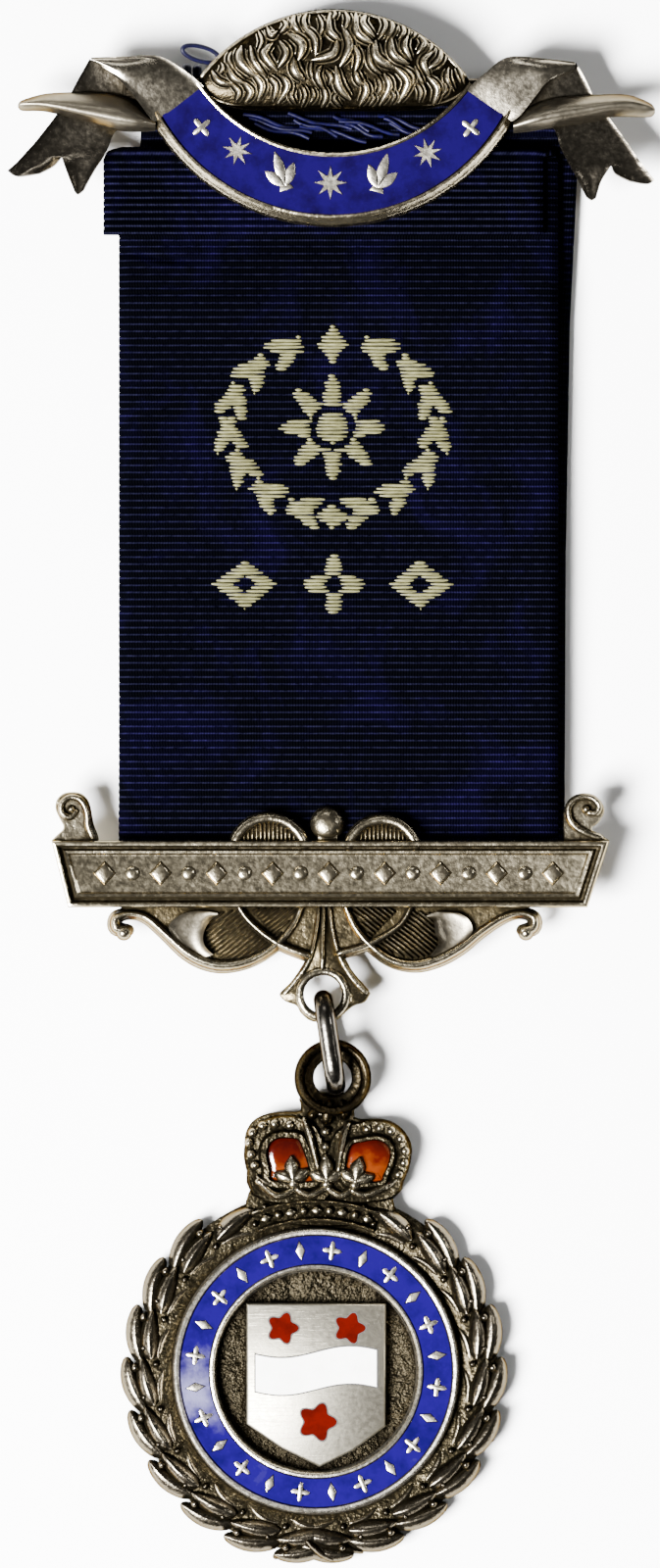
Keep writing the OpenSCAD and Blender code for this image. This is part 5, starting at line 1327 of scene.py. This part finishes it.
# Fields of fine slanting cuts: an outline and the way that the cuts run, in degrees
HATCHED = [
    ([[-10.4, -11.2], [-8.0, -10.8], [-6.4, -12.7], [-5.0, -13.8], [-6.3, -14.6], [-8.2, -15.1],
      [-9.6, -14.9], [-10.8, -13.9], [-10.9, -12.6]], 38),
    ([[-7.0, -10.7], [-2.9, -10.7], [-4.7, -13.3]], 38),
    ([[8.8, -11.2], [6.7, -10.8], [5.4, -12.7], [3.8, -13.8], [5.2, -14.6], [6.8, -15.1],
      [8.3, -14.9], [9.2, -13.9], [9.0, -12.6]], 142),
    ([[5.9, -10.7], [1.7, -10.7], [3.4, -13.3]], 142),
]
CUT_PITCH, CUT_SIZE = 0.36, [3.2, 0.25, 0.42]


def hatch(outline, angle):
    """Parallel ridges across an outline: each runs from where its line cuts an edge to the next cut."""
    outline = np.asarray(outline, float)
    run = polar(1.0, angle)
    side = np.array([-run[1], run[0]])
    start, stop = outline, np.roll(outline, -1, axis=0)
    a, b = start @ side, stop @ side
    shapes = []
    for level in np.arange(a.min() + CUT_PITCH / 2, a.max(), CUT_PITCH):
        crossed = (a - level) * (b - level) < 0
        share = (level - a[crossed]) / (b[crossed] - a[crossed])
        at = np.sort((start[crossed] + (stop[crossed] - start[crossed]) * share[:, None]) @ run)
        for near, far in zip(at[0::2], at[1::2]):
            if far - near > 0.3:
                line = np.linspace(near + 0.05, far - 0.05, 3)[:, None] * run + level * side
                shapes.append(even_ridge(line, CUT_SIZE, 6))
    return shapes


STEM_OUTLINE = [
    [0.2, -10.2], [-1.35, -10.2], [-1.7, -12.5], [-2.0, -14.5], [-2.6, -15.8], [-3.5, -17.1], [-4.4, -18.0],
    [-4.35, -18.4], [-3.9, -18.8], [-3.0, -19.15], [-2.6, -19.8], [-1.8, -20.45], [-0.7, -20.6],
    [0.4, -20.45], [1.3, -19.7], [2.0, -19.15], [2.9, -18.85], [3.3, -18.3], [3.3, -17.85], [2.0, -16.3],
    [1.2, -14.8], [0.6, -12.5],
]
EYELET, EYELET_R = (-0.7, -18.15), 1.65
EYELET_SECTION = [[1.65, 2.4], [1.65, 3.3], [1.8, 3.55], [2.05, 3.6], [2.3, 3.45], [2.4, 3.2], [2.4, 2.4]]
STEM_RIDGES = [
    [[-1.0, -10.4, 3.0, 0.45, 0.8], [-1.35, -13.0, 3.0, 0.45, 0.8], [-1.9, -15.2, 3.0, 0.5, 0.7],
     [-2.9, -16.8, 2.9, 0.6, 0.6], [-4.0, -18.1, 2.8, 0.5, 0.5]],
    [[-0.6, -10.4, 3.0, 0.4, 0.9], [-0.72, -13.2, 3.0, 0.45, 0.9], [-0.75, -15.9, 3.0, 0.5, 0.7]],
    [[-0.15, -10.4, 3.0, 0.45, 0.8], [0.2, -13.0, 3.0, 0.45, 0.8], [0.9, -15.2, 3.0, 0.5, 0.7],
     [1.9, -16.8, 2.9, 0.6, 0.6], [3.0, -18.0, 2.8, 0.5, 0.5]],
]


def stem():
    """The foot as a ring-shaped plate: the hole's rim lies at the outline's angles from the eyelet."""
    fine = round_loop(STEM_OUTLINE, 4)
    way = np.degrees(np.unwrap(np.arctan2(fine[:, 1] - EYELET[1], fine[:, 0] - EYELET[0])))
    hole = np.array(EYELET) + polar(EYELET_R, way)
    shoulder = hole + (fine - hole) * 0.12
    low = WORK_Z + 0.1
    loops = [(fine, low), (fine, 3.0), (inset(fine, 0.12), 3.15), (shoulder, 3.3), (hole, 3.2), (hole, low)]
    return hoop(np.stack([at_height(loop, z) for loop, z in loops]))


def open_ground():
    """The grounds of the stem, of the two scrolls and of the two arches."""
    edge = [[0, WORK_Z], [0, 3.2], [0.08, 3.3]]
    grounds = [plate(round_loop(ground, 3), edge) for ground in (GROUND_LEFT, GROUND_RIGHT)]
    return [stem(), *grounds, *(shape for arch in ARCHES for shape in arch_ground(*arch))]


def open_work():
    """Scrolls with a low broad foot under each crest, the stem's ridges, its eyelet and the fine cuts."""
    shapes = []
    for scale, power in (([1, 1, 1, 1.6, 0.7], 0.9), ([1, 1, 1, 1.12, 1.15], 0.7)):
        shapes += ridges([np.array(rows) * scale for rows in SCROLLS], 6, 12, power)
    shapes += [bead(x, -12.8, 2.4, 0.72, 1.7, 22) for x in (-17.95, 16.9)]
    shapes += [lathe(EYELET_SECTION, EYELET, 72), *ridges(STEM_RIDGES, 5)]
    for outline, angle in HATCHED:
        shapes += hatch(outline, angle)
    return shapes


def top_work():
    """The two curled ears with their eyes, the bands of the arches and the ball on its block."""
    shapes = []
    for ear, curl, eye in zip((EAR_LEFT, EAR_RIGHT), EAR_RIDGES, (-22.5, 22.1)):
        shapes.append(plate(catmull(ear, 4), [[0, PLATE_Z], [0, 4.0], [0.1, 4.15]]))
        shapes += [*ridges([curl], 5), bead(eye, -2.1, PLATE_Z, 0.45, 1.5)]
    shapes += [half_round(*arch) for arch in ARCHES]
    ball = [[1.5, 3.2], [1.48, 3.55], [1.35, 3.9], [1.1, 4.2], [0.75, 4.4], [0.4, 4.49], [0, 4.5]]
    return shapes + [dome(ball, (-0.3, -3.35), 40), block(-0.3, -4.7, 1.8, 1.4, PLATE_Z, 4.0)]


def rear_bar():
    """The plain bar that the ribbon goes round, on a post at each end."""
    posts = [block(x, -7.6, 0.9, 1.4, 1.2, PLATE_Z + 0.4) for x in (-19.75, 21.35)]
    return [block(0.8, -7.6, 41.1, 1.0, 1.25, 1.85, 0.1), *posts]


leaves = [relief(lipped(patch(table, 6, 6), 0.12, 0.1), WORK_Z + 0.1) for table in (LEAF_LEFT, LEAF_RIGHT)]
silver_piece("lower_bar", "framed_plate", [framed_plate()], "plate")
silver_piece("lower_bar", "stamped_marks", stamped_marks(), "plate")
silver_piece("lower_bar", "bar_top_work", top_work(), "bar", 50)
silver_piece("lower_bar", "bar_open_ground", open_ground(), "brown", 50)
silver_piece("lower_bar", "bar_open_work", open_work(), "bar", 50)
silver_piece("lower_bar", "bar_leaves", leaves, "horn")
silver_piece("lower_bar", "rear_bar", rear_bar(), "shaded")


# Medal, counted from the centre of its ring


RIM_Z, RECESS_Z = 2.9, 1.5


def at_medal(shapes):
    """Shapes moved from the ring's centre to the medal's place."""
    return [moved(shape, MEDAL_CENTRE) for shape in shapes]


def medal_disc():
    """The body under the wreath, with its recess, as one turned section."""
    section = [[0.01, 0], [15.4, 0], [15.7, 0.3], [15.7, 1.5], [15.4, 1.7], [8.8, 1.7], [8.75, RECESS_Z]]
    return lathe([*section, [0.01, RECESS_Z]], (0, 0), 180)


def ring_rims():
    """The two raised rims and the bed of the enamel between them."""
    outer = [[12.5, 1.4], [12.42, 2.5], [12.3, 2.92], [12.12, 3.05], [11.92, 3.02], [11.82, 2.86]]
    inner = [[9.28, 2.86], [9.2, 3.02], [9.05, 3.05], [8.9, 2.95], [8.72, 2.5], [8.65, 1.4]]
    bed = [[11.8, 2.3], [9.3, 2.3]]
    return lathe(outer + bed + inner, (0, 0), 240)


RING_MARKS, RING_MIDDLE = 24, 10.55


def ring_ornament():
    """Quatrefoils and lozenges by turns in the middle of the ring."""
    shapes = []
    for i in range(RING_MARKS):
        outline = lozenge(0.85, 0.4) if i % 2 else quatrefoil(0.85)
        shape = moved(raised(outline, 2.3, RIM_Z + 0.05), (RING_MIDDLE, 0))
        shapes.append(moved(shape, turn=90 - (i + 0.5) * 360 / RING_MARKS))
    return shapes


def leaf(stations, foot, half_width, rise):
    """A laurel leaf along [radius, angle]: half width w sin(180 u^0.85)^0.6 on a plump blade.

    Across it z = foot + rise (1 - v^2) with a fine raised rib, and it sinks towards foot and tip.
    """
    line = catmull(stations, 7)
    centre = polar(line[:, 0], line[:, 1])
    across = left_of(np.gradient(centre, axis=0))
    u = np.linspace(0.03, 0.985, len(line))
    v = np.array([-1, -0.93, -0.78, -0.55, -0.28, -0.08, 0, 0.08, 0.28, 0.55, 0.78, 0.93, 1])
    w = half_width * np.sin(math.pi * u**0.85) ** 0.6
    flat = centre[:, None] + across[:, None] * (w[:, None] * v)[..., None]
    swell = 0.35 + 0.65 * np.sin(math.pi * np.clip(u, 0.1, 0.95)) ** 0.6
    blade = 1 - v**2 + 0.03 * np.exp(-((v / 0.1) ** 2))
    return slab(flat, foot + rise * swell[:, None] * blade, LEAF_FOOT)


# Leaves of one cluster: [radius at foot, middle and tip, degrees back to the foot, middle and tip,
# foot height, half width, rise]
CLUSTER = [
    [15.0, 15.85, 16.3, 17.6, 8.6, 0.2, 1.75, 0.88, 0.8],
    [14.15, 14.6, 14.95, 16.6, 8.8, 0.2, 1.9, 0.92, 1.0],
    [13.6, 13.5, 13.0, 17.0, 9.8, 3.6, 1.65, 0.55, 0.45],
]
# Its berries: [radius, degrees back, size]
BERRIES = [[15.5, 3.4, 0.42], [13.75, 2.0, 0.32], [14.9, -3.2, 0.3]]
# The clusters of a side, the first one's angle at its tips, and from one to the next
CLUSTERS, FIRST_TIP, TIP_PITCH = 10, 257.5, 16.4
LEAF_FOOT = 1.0


def cluster(tip, side, first):
    """The leaves and berries that end at one angle, all of them or only those from the first on."""
    shapes = []
    for r0, r1, r2, back, middle, ahead, foot, half_width, rise in CLUSTER[first:]:
        stations = [[r0, tip + side * back], [r1, tip + side * middle], [r2, tip + side * ahead]]
        shapes.append(leaf(stations, foot, half_width, rise))
    for r, a, size in BERRIES[first:]:
        shapes.append(bead(*polar(r, tip + side * a), 1.4, size, 1.35))
    return shapes


# Stalks that cross below: rows of [x, y, foot, width, rise]
STALKS = [
    [[1.45, -16.4, 0.7, 0.7, 1.6], [0.7, -16.0, 0.8, 0.95, 1.9], [-0.2, -15.35, 0.9, 0.8, 2.1],
     [-0.8, -14.7, 1.0, 0.7, 2.1]],
    [[-3.5, -16.15, 0.6, 0.6, 1.2], [-2.7, -15.8, 0.8, 0.8, 1.5], [-1.6, -15.4, 0.8, 0.8, 1.6],
     [-0.6, -15.2, 0.8, 0.6, 1.3]],
    [[3.9, -15.7, 0.8, 0.5, 1.2], [2.9, -15.5, 0.8, 0.7, 1.5], [1.6, -15.3, 0.8, 0.7, 1.6],
     [0.5, -15.2, 0.8, 0.6, 1.3]],
]


def wreath():
    """Ten clusters up each side, the topmost without its first leaf, and the stalks."""
    shapes = []
    for k in range(CLUSTERS):
        first = 1 if k == CLUSTERS - 1 else 0
        shapes += cluster(FIRST_TIP - k * TIP_PITCH, 1, first)
        shapes += cluster(180 - FIRST_TIP + k * TIP_PITCH, -1, first)
    return [moved(shape, (-0.2, 0)) for shape in shapes] + ridges(STALKS, 5, 10, 0.9)


def wreath_ground():
    """The low slope round the ring that the leaves lie on."""
    section = [[12.45, 1.3], [12.5, 1.8], [12.9, 1.9], [13.5, 1.98], [15.0, 2.0], [15.7, 1.7], [15.75, 1.3]]
    return lathe(section, (0, 0), 180)


SHIELD = [[-6.05, 5.9], [6.05, 5.85], [6.0, -4.8], [3.2, -6.9], [0.3, -8.3], [-3.0, -6.7], [-6.05, -4.6]]
SHIELD_Z = 2.6
BAND = (-1.6, 1.7)
# The rosettes of the shield: [x, y, radius]
ROSETTES = [[-2.9, 3.75, 1.45], [2.9, 3.75, 1.45], [0.1, -4.4, 1.75]]


def band_outline(by):
    """The band's edges: y = edge + 0.5 sin(30 x degrees)."""
    x = np.linspace(-5.3, 5.3, 41) * (1 - by / 5.3)
    wave = 0.5 * np.sin(np.radians(30 * x))
    low = np.stack([x, BAND[0] + by + wave], axis=1)
    high = np.stack([x, BAND[1] - by + wave], axis=1)
    return np.concatenate([low, high[::-1]])


def rosette_outline(row, by):
    """Five lobes: r (0.84 + 0.16 cos 5a)."""
    a = np.arange(60) * 6
    r = row[2] * (0.84 + 0.16 * np.cos(np.radians(5 * a))) - by
    return np.array(row[:2]) + polar(r, a)


def shield():
    """A flat shield with a stepped edge."""
    return plate(SHIELD, [[0, 1.3], [0, 2.35], [0.08, 2.5], [0.22, SHIELD_Z]])


CROWN_OUTLINE = [
    [-5.6, 13.4], [-5.9, 15.4], [-5.1, 16.6], [-5.6, 18.2], [-6.15, 19.4], [-6.15, 20.6], [-5.5, 21.7],
    [-4.3, 22.3], [-2.9, 22.5], [-1.3, 22.6], [-1.2, 24.0], [3.3, 24.0], [3.3, 22.0], [5.5, 21.9],
    [6.8, 21.5], [7.8, 20.6], [8.3, 19.4], [8.1, 18.0], [7.5, 16.9], [6.6, 15.6], [6.4, 13.2], [0.4, 12.5],
]
WINDOW_LEFT = [
    [-3.9, 16.3], [-4.3, 17.6], [-4.55, 18.8], [-4.3, 19.8], [-3.5, 20.4], [-2.5, 20.5], [-1.4, 20.3],
    [-0.85, 19.2], [-0.4, 17.8], [-0.1, 16.3],
]
WINDOW_RIGHT = [
    [2.6, 16.4], [2.5, 18.2], [2.95, 19.65], [4.1, 20.0], [5.2, 20.15], [6.1, 19.8], [6.5, 19.0],
    [6.35, 18.0], [5.9, 17.0], [5.5, 16.4],
]
# Each window with the width of the lip that covers its glass
WINDOWS = [(WINDOW_LEFT, 0.28), (WINDOW_RIGHT, 0.1)]
CROWN_FOOT = 1.95
PEARLS = [
    [-2.3, 21.35], [-3.6, 21.45], [-4.65, 21.3], [-5.5, 20.7], [-5.8, 19.85], [-5.6, 18.85], [-5.3, 17.9],
    [4.4, 21.0], [5.5, 21.1], [6.5, 20.85], [7.3, 20.2], [7.7, 19.1], [7.6, 18.1], [7.15, 17.1],
    [0.8, 20.8], [0.8, 19.5], [0.8, 18.5],
]
CROWN_BARS = [
    [[-1.0, 21.8, 2.0, 0.6, 1.2], [-0.5, 20.2, 2.0, 0.75, 1.4], [0.15, 17.6, 2.0, 0.6, 1.25]],
    [[2.75, 21.4, 2.0, 0.6, 1.2], [2.3, 19.8, 2.0, 0.7, 1.4], [1.9, 17.4, 2.0, 0.6, 1.25]],
]
# Flowers: [x, y, the way up], and the petals of one: [lean, length, width]
FLEURS = [[-2.0, 16.6, 95], [0.9, 16.6, 90], [3.4, 16.5, 80]]
FLEUR_PETALS = [[0, 2.05, 1.5], [64, 1.4, 1.35], [-64, 1.4, 1.35], [180, 0.7, 1.3]]
WEDGES = [
    [[-5.1, 16.9, 2.0, 0.4, 1.0], [-4.5, 16.45, 2.0, 0.8, 1.2], [-3.5, 16.2, 2.0, 0.5, 1.0]],
    [[6.9, 16.6, 2.0, 0.4, 0.9], [6.0, 15.95, 2.0, 0.8, 1.1], [5.0, 15.5, 2.0, 0.5, 0.9]],
]
SWAGS = [
    [[-5.0, 16.5], [-3.4, 15.25], [-1.9, 15.8]],
    [[-1.7, 15.8], [-0.5, 15.3], [0.7, 15.9]],
    [[1.0, 15.9], [2.1, 15.25], [3.0, 15.7]],
    [[3.1, 15.7], [4.3, 15.3], [6.0, 16.0]],
]


def crown_body():
    """The crown's plate, and round each window a raised lobe with a bright inner rim."""
    shapes = [plate(round_loop(CROWN_OUTLINE, 3), [[0, 0.5], [0, 1.9], [0.15, 2.1]])]
    lobe = [[-1.75, 1.9], [-1.65, 2.4], [-1.5, 2.6], [-1.1, 2.58], [-0.6, 2.45]]
    for window, lip in WINDOWS:
        rise = [[-0.44, 2.55], [-0.36, 2.85], [-0.22, 3.05]]
        rim = [*rise, [lip - 0.1, 3.05], [lip - 0.03, 2.9], [lip, 1.9]]
        shapes.append(moulding(round_loop(window, 5), lobe + rim))
    return shapes


def fleur(x, y, lean):
    """Petals from one foot: the middle one narrows to its tip, those beside it end in a round lobe."""
    petals = []
    for angle, length, width in FLEUR_PETALS:
        way = polar(1.0, lean + angle)
        middle, tip = np.array([x, y]) + way * length * 0.6, np.array([x, y]) + way * length
        end = 0.3 if angle == 0 else 0.85
        petals.append([[x, y, 2.1, 0.7, 1.3], [*middle, 2.1, width, 1.3], [*tip, 2.1, end, 1.1]])
    return [*ridges(petals, 4, 10, 0.7), bead(x, y, 2.4, 0.36, 1.1, 12)]


GEM_R, GEM_BANDS = 13.95, (13.15, 14.75)


def crown_ornament():
    """Pearls, bars, flowers, wedges and swags, then the gems between two plain bands and a star."""
    shapes = [bead(x, y, CROWN_FOOT, 0.45, 1.15) for x, y in PEARLS]
    shapes += ridges(CROWN_BARS, 6, 10)
    for row in FLEURS:
        shapes += fleur(*row)
    shapes += ridges(WEDGES, 4)
    shapes += [even_ridge(catmull(swag, 6), [CROWN_FOOT, 0.8, 1.3]) for swag in SWAGS]
    band = [CROWN_FOOT - 0.3, 0.42, 1.25]
    shapes += [even_ridge(polar(r, np.linspace(68, 112, 41)), band) for r in GEM_BANDS]
    for i, angle in enumerate(np.arange(71.5, 109.5, 4.6)):
        place = polar(GEM_R, angle)
        if i % 2:
            shapes.append(bead(*place, CROWN_FOOT - 0.2, 0.4, 1.0))
        else:
            gem = raised(lozenge(0.55, 0.42), CROWN_FOOT - 0.2, 2.7, 0.22)
            shapes.append(moved(gem, place, turn=angle - 90))
    return shapes + [moved(raised(star(0.75, 6), CROWN_FOOT, 3.1, 0.15), (0.75, 22.3))]


LOOP_CENTRE = (1.43, 25.47)
LOOP_SECTION = [
    [1.65, 2.3], [1.67, 2.6], [1.8, 2.72], [2.2, 2.72], [2.42, 2.85], [2.5, 3.45], [2.66, 3.74],
    [2.9, 3.84], [3.12, 3.66], [3.28, 3.3], [3.35, 2.8], [3.33, 2.3],
]
LOOP_LEAVES = [
    [[-0.4, 22.2, 1.6, 1.0, 1.7], [0.1, 22.9, 1.9, 0.8, 1.6], [0.3, 23.4, 2.1, 0.5, 1.3]],
    [[2.4, 22.2, 1.6, 1.0, 1.7], [2.3, 22.9, 1.9, 0.8, 1.6], [2.2, 23.4, 2.1, 0.5, 1.3]],
    [[0.9, 21.9, 2.2, 1.2, 1.2], [1.0, 22.5, 2.2, 1.3, 1.3], [1.2, 23.3, 2.2, 0.8, 1.0]],
]


def hanging_loop():
    """The ring that the link passes through, with three leaves at its foot."""
    return [lathe(LOOP_SECTION, LOOP_CENTRE, 96), *ridges(LOOP_LEAVES, 4)]


for name, shapes, kind, smooth in (
    ("medal_disc", [medal_disc()], "pebbled", 38),
    ("ring_rims", [ring_rims()], "pale", 38),
    ("ring_ornament", ring_ornament(), "pale", 38),
    ("wreath_ground", [wreath_ground()], "ground", 38),
    ("wreath", wreath(), "wreath", 50),
    ("shield", [shield()], "shield", 38),
    ("crown_body", crown_body(), "ground", 50),
    ("crown_ornament", crown_ornament(), "bar", 50),
    ("hanging_loop", hanging_loop(), "deep", 50),
):
    silver_piece("medal", name, at_medal(shapes), kind, smooth)


def inlay(outline, high):
    """A thin plate let into the shield."""
    return plate(outline, [[0, SHIELD_Z - 0.3], [0, high - 0.04], [0.05, high]])


# How far a dark joint reaches past its cell and how far the enamel keeps inside it
JOINT, KEPT_IN = -0.1, 0.04
JOINT_Z, ENAMEL_Z = SHIELD_Z + 0.015, SHIELD_Z + 0.04
joint_outlines = [band_outline(JOINT), *(rosette_outline(row, JOINT) for row in ROSETTES)]
joints = [inlay(outline, JOINT_Z) for outline in joint_outlines]
piece("inlay_joints", at_medal(joints), joint_dark, ["medal"])
band = at_medal([inlay(band_outline(KEPT_IN), ENAMEL_Z)])
piece("white_band", band, white_glass, ["shield_enamel_white"])
for k, row in enumerate(ROSETTES, 1):
    red = at_medal([inlay(rosette_outline(row, KEPT_IN), ENAMEL_Z)])
    piece(f"red_rosette_{k}", red, red_glass, [f"shield_enamel_red_{k}"])
for side, (window, lip) in zip(("left", "right"), WINDOWS):
    edge = lip + 0.02
    glass = plate(round_loop(window, 5), [[edge, 2.1], [edge, 2.5], [edge + 0.4, 2.68], [edge + 0.7, 2.72]])
    piece(f"crown_glass_{side}", at_medal([glass]), crown_red, [f"crown_enamel_{side}"])


WIRE = SILVER["wire"]
# The ring's enamel gets the cobalt with the painted reflection, and the wire parts get the wire silver
for name, finish in (("ring_enamel", cobalt_painted_reflection), ("jump_ring", WIRE), ("brooch_pin", WIRE)):
    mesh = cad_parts[name].data
    mesh.materials.clear()
    mesh.materials.append(finish)


# Surface, light and camera


def placed(name, data):
    """A new object in the scene."""
    obj = bpy.data.objects.new(name, data)
    bpy.context.scene.collection.objects.link(obj)
    return obj


def surface(reach):
    """A square that reaches so far each way, just under the jewel."""
    mesh = bpy.data.meshes.new("surface")
    corners = [(-reach, -reach, 0), (reach, -reach, 0), (reach, reach, 0), (-reach, reach, 0)]
    mesh.from_pydata(corners, [], [(0, 1, 2, 3)])
    mesh.materials.append(table_white)
    obj = placed("surface", mesh)
    obj.location.z = -0.00005


def lamp(name, place, size, power):
    """A soft oblong lamp that looks at the jewel's middle."""
    light = bpy.data.lights.new(name, "AREA")
    light.shape = "RECTANGLE"
    light.size, light.size_y = size
    light.energy = power
    obj = placed(name, light)
    obj.location = place
    obj.rotation_mode = "QUATERNION"
    obj.rotation_quaternion = (-Vector(place)).to_track_quat("-Z", "Y")


def sky(strength):
    """A faint even light from all around."""
    world = bpy.data.worlds.new("studio")
    world.use_nodes = True
    ground = world.node_tree.nodes["Background"]
    ground.inputs["Color"].default_value = (1.0, 0.99, 0.97, 1)
    ground.inputs["Strength"].default_value = strength
    bpy.context.scene.world = world


def camera(height, view):
    """Straight above, one pixel off the middle like the photo's; the frame is as high as the view."""
    data = bpy.data.cameras.new("camera")
    data.sensor_width = 36
    data.lens = data.sensor_width * height / view
    data.clip_start, data.clip_end = 0.05, 10
    obj = placed("camera", data)
    obj.location = (-PIXEL * MM, PIXEL * MM, height + 0.003)
    bpy.context.scene.camera = obj


surface(1.5)
sky(0.09)
lamp("key", (-0.5, -0.3, 0.7), (0.4, 0.4), 138.0)
lamp("fill", (0.6, 0.2, 0.5), (0.12, 0.12), 1.3)
lamp("back", (-0.1, 0.65, 0.45), (0.3, 0.08), 1.0)
camera(1.2, 0.136)
